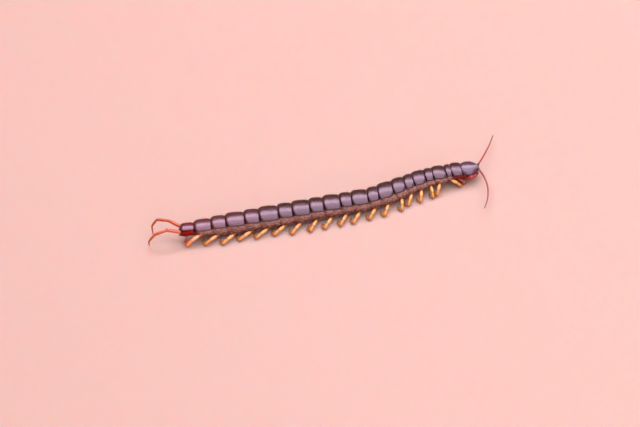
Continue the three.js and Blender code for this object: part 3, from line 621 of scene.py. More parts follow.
def add_back_plate(piece, i):
    """One arched plate: rolled rims, two fine sutures, and a hind edge over the next plate."""
    is_last = i == LAST_SEGMENT
    front = FRONTS[i] - PLATE_TUCK
    back = FRONTS[i] + PLATE_LENGTHS[i] + (LAST_PLATE_OVERLAP if is_last else PLATE_OVERLAP)
    station = lerp(front, back, dense_ends(PLATE_ROWS))[:, None]
    share = (station - FRONTS[i]) / PLATE_LENGTHS[i]
    corner_length = min(CORNER_LENGTH, 0.45 * PLATE_LENGTHS[i])
    ending = np.clip((station - back + corner_length) / corner_length, 0, 1)
    turn_in = 1 - np.sqrt(1 - ending**2)
    half = HALVES[i] * course(PLATE_WIDTH_COURSE, share) * (1 - CORNER_SHARE * turn_in)
    rise = PLATE_RISE * PLATE_WIDTHS[i] / WIDEST_PLATE
    edge = top_at(station) + lift_at(i, share) - HIND_FALL * turn_in - rise
    wrap = math.radians(LAST_PLATE_WRAP if is_last else PLATE_WRAP)
    angle = -wrap * (2 * dense_ends(PLATE_COLUMNS, 1.5) - 1)[None]
    across = half * np.sin(angle)
    turned = float(heading_at(station).mean()) - TAIL_HEADING
    skew = math.tan(math.radians(PLATE_SKEW_SHARE * turned))
    height = edge + rise * np.cos(angle) - PLATE_THICKNESS / 2
    middle = place(spine_at(station - skew * across), 0, across, height)
    girth = (wrap - np.abs(angle)) * lerp(rise, half, np.abs(np.cos(angle)) ** 0.7)
    from_ends = np.minimum(station - front, back - station)
    rim = np.minimum(girth, from_ends)
    has_rims = smooth((i - 2) / 3)
    relief = has_rims * (ridge(girth, *SIDE_RIM) + ridge(girth, *SIDE_GROOVE)) * smooth(from_ends / 0.8)
    relief = relief + ridge(back - station, *HIND_RIM) * smooth(girth / 0.5)
    has_sutures = 1 < i < LAST_SEGMENT
    cut = has_sutures * hump(np.abs(across) - SUTURE_ACROSS * half, 0.10) * smooth((share - 0.05) / 0.08)
    uneven = dents(station, angle * half, PLATE_DENTS, 7 * i)
    relief = relief - SUTURE_DEPTH * cut + uneven * smooth(rim / 0.6)
    low = smooth((np.abs(angle) - math.radians(30)) / math.radians(38))
    margin = lerp(MARGIN_ON_BACK, min(MARGIN_ON_SIDES, MOST_MARGIN_SHARE * PLATE_LENGTHS[i]), low)
    # Painted shade: the hind margin's dark crescent, in part the plate's own colour, and the groove at the
    # front edge under the plate before.
    hind = smooth((station - back + margin) / (0.55 * margin))
    fore = 1 - smooth((station - FRONTS[i] - 0.08) / 0.30)
    # The tone darkens the plate towards its side edges and is painted shade in the sutures.
    piece.add_shell(
        middle, PLATE_THICKNESS / 2 * edge_round(rim, EDGE_REACH), relief * edge_round(rim, 0.25),
        along=station - FRONTS[i],
        part=np.maximum(hind, fore) * (LAST_PLATE_MARGIN if is_last else 1),
        tone=np.clip(1.2 * hump(girth, 0.70) + 0.4 * cut, 0, 1),
        lay=lay_over(station, angle * half, 3.0 * i),
    )


BELLY_ROWS = 22
BELLY_COLUMNS = 42
BELLY_SHARE = 0.60
BELLY_THICKNESS = 0.34
BELLY_CORNER = 1.2
# A belly plate's width at its front and its hind end, as shares, and the same of the last one.
BELLY_NARROWING = (1.0, 0.86)
LAST_BELLY_NARROWING = (0.95, 0.60)


def add_belly_plate(piece, i):
    """One flat belly plate, with two long sutures and a rounded hind edge."""
    front, back = FRONTS[i] + 0.15, FRONTS[i] + PLATE_LENGTHS[i] + 0.25
    station = lerp(front, back, dense_ends(BELLY_ROWS))[:, None]
    share = (station - front) / (back - front)
    narrow = lerp(*(BELLY_NARROWING if i < LAST_SEGMENT else LAST_BELLY_NARROWING), smooth(share))
    ending = np.clip((station - back + BELLY_CORNER) / BELLY_CORNER, 0, 1)
    half = HALVES[i] * BELLY_SHARE * narrow * lerp(1.0, 0.75, 1 - np.sqrt(1 - ending**2))
    across = half * (2 * dense_ends(BELLY_COLUMNS) - 1)[None]
    height = belly_at(station) + 0.16 + 0.30 * (across / half) ** 4 + 0.22 * (1 - smooth(share / 0.12))
    rim = np.minimum(half - np.abs(across), np.minimum(station - front, back - station))
    suture = hump(np.abs(across) - 0.42 * half, 0.12) * smooth((share - 0.02) / 0.1)
    relief = (-0.06 * suture + 0.02 * noise(station, across * 0.8, 8)) * edge_round(rim, 0.3)
    thick = BELLY_THICKNESS / 2 * edge_round(rim, EDGE_REACH)
    piece.add_shell(
        place(spine_at(station), 0, across, height), thick, relief,
        along=share, part=i / LAST_SEGMENT, tone=suture, lay=lay_over(station, across, 5.0 * i),
    )


def make_plates(add_plate, name, material):
    for i in range(SEGMENTS):
        piece = Piece()
        add_plate(piece, i)
        piece.build(f"{name}_{i + 1:02d}", [material])


# Limbs.

LEG_SIDES = 16
BALL_STEPS = 9
ARTICLE_STEPS = 30


def add_ball(piece, centre, way, radius, part):
    """A joint's round membrane, drawn out a little along the limb."""
    turn = np.linspace(0.06, math.pi - 0.06, BALL_STEPS)
    path = centre - way * np.cos(turn)[:, None] * radius
    piece.add_round(path, np.sin(turn) * radius, LEG_SIDES, along=0.5, part=part, tone=0.75)


def article_course(length, near, thick, far):
    """Places and radii along an article: a narrow root, a swollen middle and a rolled collar."""
    return [
        (-0.10, near * 0.42), (-0.04, near * 0.66), (0.05, near * 0.88), (0.22, near * 0.97),
        (length * 0.34, thick * 0.985), (length * 0.62, thick), (length - 0.52, lerp(thick, far, 0.75)),
        (length - 0.26, far * 1.02), (length - 0.15, far * 1.11), (length - 0.05, far * 1.09),
        (length + 0.03, far * 0.94), (length + 0.05, far * 0.72), (length - 0.02, far * 0.5),
    ]


def add_article(piece, start, way, length, radii, part, arch=0.0, sides=LEG_SIDES):
    """One hard article of a limb, closed at both ends. Its radii are near, thickest and far."""
    knots = np.array(article_course(length, *radii))
    fine = np.linspace(0, len(knots) - 1, ARTICLE_STEPS)
    at, around = (course(np.stack([np.arange(len(knots)), column], 1), fine) for column in knots.T)
    share = np.clip(at / length, 0, 1)
    upright = square_to(way)[1]
    path = start + way * at[:, None] + upright * (arch * 4 * share * (1 - share))[:, None]
    collar = np.clip(hump(at - length, 0.30) + 0.6 * hump(at, 0.22), 0, 1)
    piece.add_round(path, around, sides, way, along=share, part=part, tone=collar)


def add_thorn(piece, root, way, length, radius, bend=(0, 0, 0), part=1.0, sides=8, steps=9):
    """A sharp curved thorn or claw. It bends by an offset at its tip."""
    share = np.linspace(0, 1, steps)
    path = root + way * (length * share)[:, None] + bend * (share**2)[:, None]
    radii = radius * (1 - share**1.6) * 0.96 + 0.02
    piece.add_round(path, radii, sides, along=share, part=part, tone=share)


def add_limb(piece, joint, before, table, ways, lengths, balls, shape):
    """Articles from the root to the claw, with a membrane at each joint. Gives where each one starts."""
    arch, sides, claw_drop = shape
    starts = []
    for k, (part, way, length, ball) in enumerate(zip(table, ways, lengths, balls)):
        starts.append(joint)
        shown = k / (len(table) - 1)
        if ball:
            add_ball(piece, joint, unit(before + way), ball, shown)
        if k + 1 < len(table):
            radii = (part["start"], part["thick"], table[k + 1]["start"])
            add_article(piece, joint, way, length, radii, shown, arch * length, sides)
        else:
            tip = way * length + UP * claw_drop
            add_thorn(piece, joint, unit(tip), np.linalg.norm(tip), part["start"], -UP * claw_drop)
        joint = joint + way * length
        before = way
    return starts


HALVINGS = 40


def where_zero(height_at, low, high):
    """The limit at which a falling function reaches zero."""
    for _ in range(HALVINGS):
        middle = (low + high) / 2
        if height_at(middle) > 0:
            low = middle
        else:
            high = middle
    return low


def end_height(start, ways, lengths):
    """How high a chain of lengths ends."""
    return start[2] + sum(way[2] * length for way, length in zip(ways, lengths))


def leg_root(index, side):
    """A leg's floor frame, its scale, and where its hip starts and points."""
    at = spine_at(leg_station(index))
    scale = lerp(LEG_SCALE_AT_HEAD, LEG_SCALE_AT_TAIL, index / (LEG_PAIRS - 1))
    scale *= END_LEG_SHARES.get(index, 1.0)
    height = belly_at(leg_station(index)) + LEG_ROOT_HEIGHT
    point = place(at, 0, side * (HALVES[index] - LEG_ROOT_INSET), height)
    return at, scale, point, outward(at, side, SWEEPS[side][index] * HIP_SWEEP_SHARE, HIP_PITCH)


def leg_ways(at, index, side, tilt, bend):
    """Directions of a walking leg's lengths, for a tilt to the knee and a bend down to the floor."""
    foot_yaw = -FOOT_YAW if index < FORWARD_PAIRS else FOOT_YAW
    ways = []
    for k, part in enumerate(LEG_LENGTHS):
        pitch = part["pitch"] - tilt * part["tilt"] if k < KNEE_LENGTH else -bend * part["drop"]
        ways.append(outward(at, side, lerp(SWEEPS[side][index], foot_yaw, part["fold"]), pitch))
    return ways


HIP_SUNK = 1.5
HIP_RADII = (1.32, 1.26, 1.0)
MOST_BALL = 0.95
UPPER_BALL_SHARE = 0.9
LOWER_BALL_SHARE = 0.94
# A limb's arch as a share of each length, the sides of its tubes, and its claw's drop.
LEG_SHAPE = (0.03, LEG_SIDES, 0.10)
HIND_SHAPE = (0.022, 20, 0.12)
# The article that ends in the spur, and the spur's length and radius.
SPUR_ARTICLE = 4
SPUR = (0.5, 0.12)


def make_walking_leg(index, side, material):
    """Hip, trochanter, five long articles, a spur and a hooked claw."""
    at, scale, point, hip_way = leg_root(index, side)
    lengths = [part["length"] * scale for part in LEG_LENGTHS]
    start = point + hip_way * HIP_LENGTH

    def height(tilt, bend, count=None):
        return end_height(start, leg_ways(at, index, side, tilt, bend)[:count], lengths)

    tilt = where_zero(lambda angle: height(angle, 0, KNEE_LENGTH) - KNEE_HEIGHT, 0, MOST_TILT)
    bend = where_zero(lambda angle: height(tilt, angle), 0, MOST_BEND)
    ways = leg_ways(at, index, side, tilt, bend)
    piece = Piece()
    hip_radii = [radius * scale for radius in HIP_RADII]
    add_article(piece, point - hip_way * HIP_SUNK, hip_way, HIP_SUNK + HIP_LENGTH, hip_radii, 0.0)
    balls = [
        min(part["start"], MOST_BALL) * (UPPER_BALL_SHARE if k < 2 else LOWER_BALL_SHARE)
        for k, part in enumerate(LEG_LENGTHS)
    ]
    starts = add_limb(piece, start, hip_way, LEG_LENGTHS, ways, lengths, balls, LEG_SHAPE)
    way = ways[SPUR_ARTICLE]
    spur_root = starts[SPUR_ARTICLE + 1] - way * 0.2 - UP * 0.25
    add_thorn(piece, spur_root, unit(way - UP * 0.9), *SPUR, part=0.9)
    name = f"{index + 1:02d}_{SIDE_NAMES[side]}"
    piece.build(f"walking_leg_{name}", [material], [f"leg_{name}"])


def hind_ways(side, bend):
    ways = []
    for k, part in enumerate(HIND_LENGTHS):
        yaw, pitch = part[SIDE_NAMES[side]]
        ways.append(outward(TAIL_FRAME, side, 90 - yaw, pitch - (bend if k >= HIND_BENDING_FROM else 0)))
    return ways


HIND_BALL_SHARE = 0.97
# Spines on a trailing leg's first length: rows by their roll and places, then the two at its corner.
HIND_SPINE_ROWS = ((-70, (0.28, 0.46, 0.66)), (-20, (0.36, 0.56, 0.76)), (35, (0.48, 0.68)))
HIND_SPINE = (0.72, 0.21)
CORNER_SPINES = ((0.5, 1.45), (0.95, 1.0))
CORNER_SPINE_RADIUS = 0.34
SPINE_PART = 0.45


def add_hind_spines(piece, side, way):
    """Rows of small spines on the inner side of a trailing leg's first length, and two at its end."""
    root = hind_root(side)
    inward = TAIL_FRAME[2] * -side
    length, thick = HIND_LENGTHS[0]["length"], HIND_LENGTHS[0]["thick"]
    for roll, places in HIND_SPINE_ROWS:
        out = inward * math.cos(math.radians(roll)) + UP * math.sin(math.radians(roll))
        for share in places:
            spine_root = root + way * (length * share) + out * thick * 0.80
            add_thorn(piece, spine_root, unit(out + way * 0.7), *HIND_SPINE, part=SPINE_PART)
    for lean, size in CORNER_SPINES:
        out = unit(UP + inward * lean)
        corner = root + way * (length * 0.94) + out * 0.62
        add_thorn(piece, corner, unit(out + way * 0.75), size, CORNER_SPINE_RADIUS, part=SPINE_PART)


def hind_root(side):
    return place(TAIL_FRAME, 0, side * HIND_ROOT_ACROSS, HIND_ROOT_HEIGHT)


def make_hind_leg(side, material):
    """A trailing leg that arches down to the floor."""
    lengths = [part["length"] for part in HIND_LENGTHS]
    root = hind_root(side)
    bend = where_zero(lambda angle: end_height(root, hind_ways(side, angle), lengths),
                      -HIND_MOST_BEND, HIND_MOST_BEND)
    ways = hind_ways(side, bend)
    piece = Piece()
    balls = [0.0] + [part["start"] * HIND_BALL_SHARE for part in HIND_LENGTHS[1:]]
    add_limb(piece, root, None, HIND_LENGTHS, ways, lengths, balls, HIND_SHAPE)
    add_hind_spines(piece, side, ways[0])
    name = SIDE_NAMES[side]
    piece.build(f"trailing_leg_{name}", [material], [f"hind_leg_{name}"])


# The tail's side plates, from front to point: start, distance across, height, radius and tallness.
TAIL_SIDE_START = 160.6
TAIL_SIDE_END = TRUNK_LENGTH + 1.75
TAIL_SIDE_ACROSS = [(0, 2.9), (0.15, 3.25), (0.5, 3.2), (0.8, 2.85), (0.9, 2.65), (1, 2.45)]
TAIL_SIDE_HEIGHT = [(0, 7.0), (0.3, 7.1), (0.7, 6.95), (0.86, 6.6), (1, 6.15)]
TAIL_SIDE_RADII = [(0, 0.3), (0.05, 1.0), (0.2, 1.3), (0.6, 1.28), (0.80, 1.05), (0.90, 0.56), (1, 0.10)]
TAIL_SIDE_TALL = [(0, 1.35), (0.5, 1.35), (0.85, 1.2), (1, 1.0)]
TAIL_TIP = (-1.55, 2.5, 6.2)
TAIL_SPINE_LEANS = (-0.5, 0.45)
TAIL_END_RADII = [(0, 0.9), (0.6, 1.15), (0.88, 0.9), (1, 0.25)]


def make_tail(material):
    """The last segment's swollen side plates with their pointed ends, and the small plate between."""
    for side, name in SIDE_NAMES.items():
        piece = Piece()
        share = np.linspace(0, 1, 34)
        at = spine_at(lerp(TAIL_SIDE_START, TAIL_SIDE_END, share))
        path = place(at, 0, side * course(TAIL_SIDE_ACROSS, share), course(TAIL_SIDE_HEIGHT, share))
        piece.add_round(path, course(TAIL_SIDE_RADII, share), 28, tall=course(TAIL_SIDE_TALL, share),
                        along=share, part=0.2, tone=smooth((share - 0.93) / 0.07))
        tip = place(TAIL_FRAME, TAIL_TIP[0], side * TAIL_TIP[1], TAIL_TIP[2])
        for lean in TAIL_SPINE_LEANS:
            way = unit(-TAIL_FRAME[1] + TAIL_FRAME[2] * side * lean + UP * 0.2)
            add_thorn(piece, tip, way, 0.55, 0.13, part=0.9)
        piece.build(f"tail_side_{name}", [material])
    piece = Piece()
    share = np.linspace(0, 1, 16)
    path = place(TAIL_FRAME, lerp(2.5, -1.3, share), 0, lerp(7.6, 7.3, share))
    piece.add_round(path, course(TAIL_END_RADII, share), 24, tall=0.9, along=share, part=0.3)
    piece.build("tail_end", [material])


# Head.

HEAD_ROWS = 60
HEAD_COLUMNS = 96
HEAD_THICKNESS = 0.36
HEAD_RIM = (0.05, 0.28, 0.16)
HEAD_GROOVE = (-0.03, 0.6, 0.15)
HEAD_DENTS = ((0.022, 0.5, 0.45, 9), (0.01, 1.5, 1.4, 10))
FURROW_DEPTH = 0.09
HEAD_SUTURE_DEPTH = 0.03
# How far the shield's front bends down over the mouth.
FRONT_FALL = 0.55


def head_at(share):
    """The head at a share of its length: half its width, its edge's height and its shield's rise."""
    half = HEAD_WIDTH / 2 * course(HEAD_WIDTH_COURSE, share)
    rise_share = course(HEAD_RISE_COURSE, share)
    edge = HEAD_TOP + HEAD_SLOPE * share * HEAD_LENGTH - HEAD_RISE * (1 + rise_share) / 2
    return half, edge, HEAD_RISE * rise_share


def make_head_shield(material):
    """The head's smooth arched shield, with a rolled rim and a faint furrow between the antennae."""
    share = lerp(HEAD_HIND_SHARE, 1.0, dense_ends(HEAD_ROWS, 1.7)[:, None])
    along = share * HEAD_LENGTH
    from_hind = along - HEAD_HIND_SHARE * HEAD_LENGTH
    half, edge, rise = head_at(share)
    wrap = math.radians(PLATE_WRAP)
    angle = wrap * (2 * dense_ends(HEAD_COLUMNS, 1.5) - 1)[None]
    across = half * np.sin(angle)
    height = edge + rise * np.cos(angle) - FRONT_FALL * smooth((share - 0.94) / 0.06) ** 2
    girth = (wrap - np.abs(angle)) * half
    rim = np.minimum(girth, np.minimum(from_hind, HEAD_LENGTH - along))
    relief = (ridge(girth, *HEAD_RIM) + ridge(girth, *HEAD_GROOVE)) * smooth((share - HEAD_HIND_SHARE) / 0.1)
    furrow = hump(across, 0.22) * smooth((share - 0.72) / 0.12) * smooth((1.02 - share) / 0.06)
    sutures = hump(np.abs(across) - 0.30 * half, 0.10) * smooth((0.30 - share) / 0.15)
    relief = relief - FURROW_DEPTH * furrow - HEAD_SUTURE_DEPTH * sutures
    relief = relief + dents(along, angle * half, HEAD_DENTS) * smooth(rim / 0.6)
    piece = Piece()
    # The tone darkens the shield towards its side edges and is painted shade in the furrow.
    piece.add_shell(
        place(HEAD_FRAME, along, across, height - HEAD_THICKNESS / 2),
        HEAD_THICKNESS / 2 * edge_round(rim, EDGE_REACH), relief * edge_round(rim, 0.25),
        along=share, part=0.5 * (1 - smooth(from_hind / 0.9)),
        tone=np.clip(hump(girth, 0.55) + 0.3 * furrow, 0, 1), lay=lay_over(along, angle * half, 40.0),
    )
    piece.build("head_shield", [material], ["head"])


# How far the lip over the mouth hangs below the rest of the head's underside.
LIP_DROP = 1.1
# An antenna's socket: places along the antenna's way, and radii.
SOCKET_ALONG = np.array([-1.5, -0.4, 0.05, 0.25, 0.40, 0.47, 0.40, 0.25])
SOCKET_RADII = np.array([0.9, 0.92, 0.90, 0.93, 0.90, 0.80, 0.68, 0.60])


def make_head_body(material):
    """What the shield covers: the cheeks, the brow over the mouth and the sockets of the antennae."""
    piece = Piece()
    share = np.linspace(0, 1, 40)
    along = lerp(-0.3, HEAD_LENGTH * 0.985, share)
    half, edge, rise = head_at(along / HEAD_LENGTH)
    closing = np.sqrt(np.maximum(1 - np.clip((share - 0.92) / 0.08, 0, 1) ** 2, 0.004))
    top = edge + rise - 0.6
    lip = HEAD_UNDERSIDE - LIP_DROP * smooth((along - 4.5) / 2.5)
    bottom = lerp(edge - 0.9, lip, closing)
    corners = [
        (0 * half, top), (half * 0.6, lerp(edge, top, 0.72)), (half * 0.86, edge + 0.15),
        (half * 0.93, edge - 0.35), (half * 0.88, edge - 0.9), (half * 0.74, bottom + 0.1),
        (0 * half, bottom),
    ]
    across, height = rounded([np.stack(corner, 0) for corner in corners], [5, 6, 5, 5, 6, 8])
    along = along[:, None]
    left, right = (place(HEAD_FRAME, along, side * across.T, height.T) for side in SIDE_NAMES)
    rings = np.concatenate([left, right[:, -2:0:-1]], 1)
    girth = np.arange(rings.shape[1]) * 0.5
    wobble = 0.03 * noise(along * 1.7, girth * 1.3, 8)
    piece.add_tube(rings + UP * wobble[..., None], along=share, part=0.5, tone=0.15,
                   lay=lay_over(along, girth, 50.0))
    for side in SIDE_NAMES:
        way = antenna_way(side, 0)
        path = antenna_root(side) + way * SOCKET_ALONG[:, None]
        piece.add_round(path, SOCKET_RADII, 24, way, along=0.5, part=0.7, tone=hump(SOCKET_ALONG - 0.4, 0.2))
    piece.build("head_body", [material], ["head"])


# The eyes' site on the head: share of its length, share of its half width, and drop from its top.
EYE_SITE = (0.70, 0.685, 1.66)
EYE_WAY = (0.35, 0.8, 0.5)
EYE_SPREAD = (0.414, 0.324)
EYE_RADII = (0.27, 0.25, 0.24, 0.26)
LENS_HEIGHT = 0.20
LENS_SUNK = 0.35
EYE_SIDES = 20
EYE_RING_ALONG = np.array([-LENS_SUNK, 0.0, 0.045, 0.02, -0.1])
EYE_RING_SHARES = np.array([1.25, 1.22, 1.1, 0.98, 0.9])


def make_eyes(side, lens, ring):
    """Four simple eyes in a diamond: domed lenses, each in a low ring."""
    along = HEAD_LENGTH * EYE_SITE[0]
    height = HEAD_TOP + HEAD_SLOPE * along - EYE_SITE[2]
    centre = place(HEAD_FRAME, along, side * HEAD_WIDTH / 2 * EYE_SITE[1], height)
    way = unit(HEAD_FRAME[1] * EYE_WAY[0] + HEAD_FRAME[2] * side * EYE_WAY[1] + UP * EYE_WAY[2])
    across, over = square_to(way)
    reach = np.linspace(0, math.pi / 2 - 0.02, 9)
    dome = np.concatenate([[-LENS_SUNK, -0.02], LENS_HEIGHT * np.sin(reach)])
    dome_shares = np.concatenate([[0.9, 1.0], np.cos(reach)])
    piece = Piece()
    for k, radius in enumerate(EYE_RADII):
        turn = math.pi / 2 * k
        middle = centre + across * math.cos(turn) * EYE_SPREAD[0] + over * math.sin(turn) * EYE_SPREAD[1]
        piece.add_round(middle + way * dome[:, None], radius * dome_shares, EYE_SIDES, way, along=0.5)
        piece.add_round(middle + way * EYE_RING_ALONG[:, None], radius * EYE_RING_SHARES, EYE_SIDES, way,
                        material=1, along=0.5, part=0.6, tone=0.5)
    name = SIDE_NAMES[side]
    piece.build(f"simple_eyes_{name}", [lens, ring], [f"eyes_{name}"])


def antenna_root(side):
    return place(HEAD_FRAME, HEAD_LENGTH * ANTENNA_ROOT[0], side * ANTENNA_ROOT[1], ANTENNA_ROOT[2])


def antenna_way(side, share):
    heading, turn, pitch = ANTENNA_COURSE[side]
    return outward(HEAD_FRAME, side, heading + turn * share - 90, pitch)


# An article of the antenna: places along it, shares of its radius, and how the last one closes.
FEELER_ALONG = np.array([-0.03, 0.0, 0.04, 0.13, 0.35, 0.65, 0.86, 0.94, 0.985, 1.0, 0.99])
FEELER_SHARES = np.array([0.5, 0.66, 0.76, 0.84, 0.91, 0.99, 1.03, 1.03, 0.96, 0.82, 0.6])
FEELER_CLOSING = np.array([1.0, 1.0, 1.0, 1.0, 1.0, 0.95, 0.8, 0.66, 0.45, 0.25, 0.1])
FEELER_SIDES = 14
SMOOTH_ARTICLES = 6
HAIR_SEED = 5
HAIR_RINGS = 4
HAIRS_ROUND = 11
HAIR_LENGTHS = (0.17, 0.22)
HAIR_RADIUS = 0.014


def add_hairs(piece, start, way, length, radius, random):
    """Short hairs round an article of the antenna, leaning towards its tip."""
    across, upright = square_to(way)
    for ring in range(HAIR_RINGS):
        for k in range(HAIRS_ROUND):
            turn = 2 * math.pi * (k + random.random()) / HAIRS_ROUND
            out = across * math.cos(turn) + upright * math.sin(turn)
            along = length * (ring + 0.35 + 0.5 * random.random()) / HAIR_RINGS
            hair = lerp(*HAIR_LENGTHS, random.random())
            add_thorn(piece, start + way * along + out * radius * 0.9, unit(way + out * 0.75), hair,
                      HAIR_RADIUS, sides=3, steps=3)


def make_antenna(side, material):
    """Eighteen articles that shorten towards the tip. The first are smooth, the rest finely haired."""
    weights = [1 - ANTENNA_TAPER * k / ANTENNA_ARTICLES for k in range(ANTENNA_ARTICLES)]
    joint = antenna_root(side) + antenna_way(side, 0) * ANTENNA_PROUD
    random = np.random.default_rng(HAIR_SEED + side)
    piece = Piece()
    share = 0.0
    for k, weight in enumerate(weights):
        step = weight / sum(weights)
        length = step * ANTENNA_LENGTH
        way = antenna_way(side, share + step / 2)
        near, far = (lerp(*ANTENNA_RADII, end**0.8) for end in (share, share + step))
        along = np.clip(FEELER_ALONG, 0, 1)
        radii = FEELER_SHARES * lerp(near, far, along)
        if k + 1 == ANTENNA_ARTICLES:
            radii = radii * FEELER_CLOSING
        at = length * FEELER_ALONG
        joints = np.clip(hump(at, 0.14) + hump(at - length, 0.10), 0, 1)
        piece.add_round(joint + way * at[:, None], radii, FEELER_SIDES, way,
                        along=along, part=share + step / 2, tone=joints)
        if k >= SMOOTH_ARTICLES:
            add_hairs(piece, joint, way, length, near, random)
        joint = joint + way * length
        share += step
    name = SIDE_NAMES[side]
    piece.build(f"feeler_{name}", [material], [f"antenna_{name}"])


# The venom claw's centre line and thickness: along, across and height in the head's frame, and radius.
VENOM_CLAW = [
    (2.9, 3.15, 4.4, 1.25), (3.7, 3.8, 4.5, 1.68), (5.2, 4.35, 4.6, 1.68), (6.4, 4.4, 4.7, 1.36),
    (6.9, 4.3, 4.75, 1.36), (7.4, 4.05, 4.8, 1.25), (8.0, 3.55, 4.85, 1.12), (8.8, 2.65, 4.85, 0.86),
    (9.35, 1.7, 4.8, 0.52), (9.5, 0.75, 4.65, 0.10),
]
# Each article's first and last place among those points, its rows, and where its root reaches full width.
VENOM_ARTICLES = ((0.0, 3.1, 26, 0), (3.1, 4.25, 12, 0.35), (4.25, 5.35, 12, 0.35), (5.35, 9.0, 34, 0.08))
VENOM_OVERLAP = 0.12
VENOM_LINE_STEPS = 40
VENOM_SIDES = 28
VENOM_TOOTH = (5.2, 3.0, 4.3)


def make_venom_claw(side, material):
    """Four articles that curve round the side of the head. The last is a sharp claw."""
    knots = [np.array(knot)[:, None] for knot in VENOM_CLAW]
    line = rounded(knots, [VENOM_LINE_STEPS] * (len(knots) - 1))[..., 0]
    spots = np.linspace(0, len(knots) - 1, line.shape[1])
    piece = Piece()
    for first, last, rows, root in VENOM_ARTICLES:
        local = dense_ends(rows, 1.9)
        at = lerp(first - (VENOM_OVERLAP if root else 0), last, local)
        along, across, height, radii = (np.interp(at, spots, values) for values in line)
        if root:
            radii = radii * lerp(0.72, 1.0, smooth(local / root))
        if last < spots[-1]:
            radii = radii * lerp(1.0, 0.70, smooth((local - 0.93) / 0.07))
            radii = radii * (1 + ridge(local, 0.05, 0.88, 0.07))
        path = place(HEAD_FRAME, along, side * across, height)
        piece.add_round(path, radii, VENOM_SIDES, tall=lerp(0.98, 0.86, smooth((at - 5) / 3)),
                        along=local, part=np.clip(at / spots[-1], 0, 1), tone=smooth((at - 7.0) / 1.5))
    tooth = place(HEAD_FRAME, VENOM_TOOTH[0], side * VENOM_TOOTH[1], VENOM_TOOTH[2])
    add_thorn(piece, tooth, unit(HEAD_FRAME[1] * 0.9 - HEAD_FRAME[2] * side), 1.25, 0.42, part=0.8)
    name = SIDE_NAMES[side]
    piece.build(f"fang_{name}", [material], [f"venom_claw_{name}"])


# The claw plate: along, half width and the height of its underside. Then its tooth plates.
CLAW_PLATE_RINGS = np.array([(0, 3.7, 3.1), (0.9, 4.0, 2.6), (3.4, 2.7, 2.6), (5.3, 1.55, 3.15)])
CLAW_PLATE_END = CLAW_PLATE_RINGS[-1, 0]
CLAW_PLATE_TOP = 5.9
CLAW_PLATE_SQUARENESS = 2.9
TOOTH_PLATE_ACROSS = 0.78
TOOTH_PLATE_HEIGHTS = (4.5, 4.6)
TOOTH_PLATE_RADII = [(0, 0.66), (0.7, 0.64), (0.9, 0.58), (1, 0.45)]
TEETH = 5
TEETH_SPREAD = 0.46


def squared(circle):
    """A circle's coordinate drawn out towards a rounded square's."""
    return np.sign(circle) * np.abs(circle) ** (2 / CLAW_PLATE_SQUARENESS)


def make_claw_plate(material):
    """The plate under the head that carries the venom claws, with its two rows of dark teeth."""
    share = dense_ends(46, 1.7)
    along = CLAW_PLATE_END * share
    half, bottom = (course(CLAW_PLATE_RINGS[:, [0, k]], along) for k in (1, 2))
    closing = edge_round(np.minimum(along + 0.04, CLAW_PLATE_END - along + 0.02), 0.5)
    closing = lerp(0.8, 1.0, closing)
    angle = 2 * np.pi * np.arange(72) / 72
    high = squared(np.sin(angle))
    middle = (CLAW_PLATE_TOP + bottom) / 2
    across = (half * closing)[:, None] * squared(np.cos(angle))
    suture = hump(across, 0.13) * (high < 0) * smooth(share / 0.1)[:, None]
    height = middle[:, None] + ((CLAW_PLATE_TOP - bottom) / 2 * closing)[:, None] * high + 0.12 * suture
    piece = Piece()
    # The tone is painted shade in the median suture.
    piece.add_tube(place(HEAD_FRAME, along[:, None], across, height), along=share, part=0.1,
                   tone=0.25 * suture, lay=lay_over(along[:, None], across, height))
    for side in SIDE_NAMES:
        reach = np.linspace(0, 1, 12)
        path = place(HEAD_FRAME, CLAW_PLATE_END + lerp(-0.7, 0.62, reach), side * TOOTH_PLATE_ACROSS,
                     lerp(*TOOTH_PLATE_HEIGHTS, reach))
        piece.add_round(path, course(TOOTH_PLATE_RADII, reach), 20, tall=0.55,
                        along=reach, part=0.5, tone=0.6 * reach)
        for shift in np.linspace(-TEETH_SPREAD, TEETH_SPREAD, TEETH):
            root = place(HEAD_FRAME, CLAW_PLATE_END + 0.38, side * TOOTH_PLATE_ACROSS + shift,
                         TOOTH_PLATE_HEIGHTS[1])
            add_thorn(piece, root, HEAD_FRAME[1], 0.52 - 0.35 * abs(shift), 0.13, sides=10)
    piece.build("claw_base", [material], ["claw_plate"])


# The second jaws' palps: along, across, height and radius. Then the joints, as shares of the length.
PALP = [(4.6, 1.7, 6.0, 0.5), (6.2, 1.95, 6.0, 0.56), (7.6, 1.6, 5.95, 0.50), (8.6, 0.95, 5.9, 0.40)]
PALP_JOINTS = (0.36, 0.68)
MOUTH_SIDES = 16


def make_mouth(material):
    """The mouthparts between head and claw plate: the second jaws' palps, and the lobes between."""
    piece = Piece()
    for side in SIDE_NAMES:
        along, across, height, radii = rounded([np.array(knot)[:, None] for knot in PALP], [14] * 3)[..., 0]
        share = np.linspace(0, 1, len(along))
        waists = 1 - sum(ridge(share, 0.16, joint, 0.03) for joint in PALP_JOINTS)
        piece.add_round(place(HEAD_FRAME, along, side * across, height),
                        radii * waists * edge_round(1 - share + 0.01, 0.12), MOUTH_SIDES,
                        along=share, part=0.4, tone=0.3 * share)
        tip = place(HEAD_FRAME, 8.6, side * 0.92, 5.9)
        add_thorn(piece, tip, unit(HEAD_FRAME[1] - HEAD_FRAME[2] * side * 0.7), 0.45, 0.12)
        share = np.linspace(0, 1, 12)
        lobe = place(HEAD_FRAME, lerp(4.8, 7.7, share), side * 0.55, 5.95)
        piece.add_round(lobe, 0.5 * edge_round(1 - share + 0.01, 0.35), MOUTH_SIDES,
                        along=share, part=0.3, tone=0.1)
    piece.build("mouth_parts", [material])


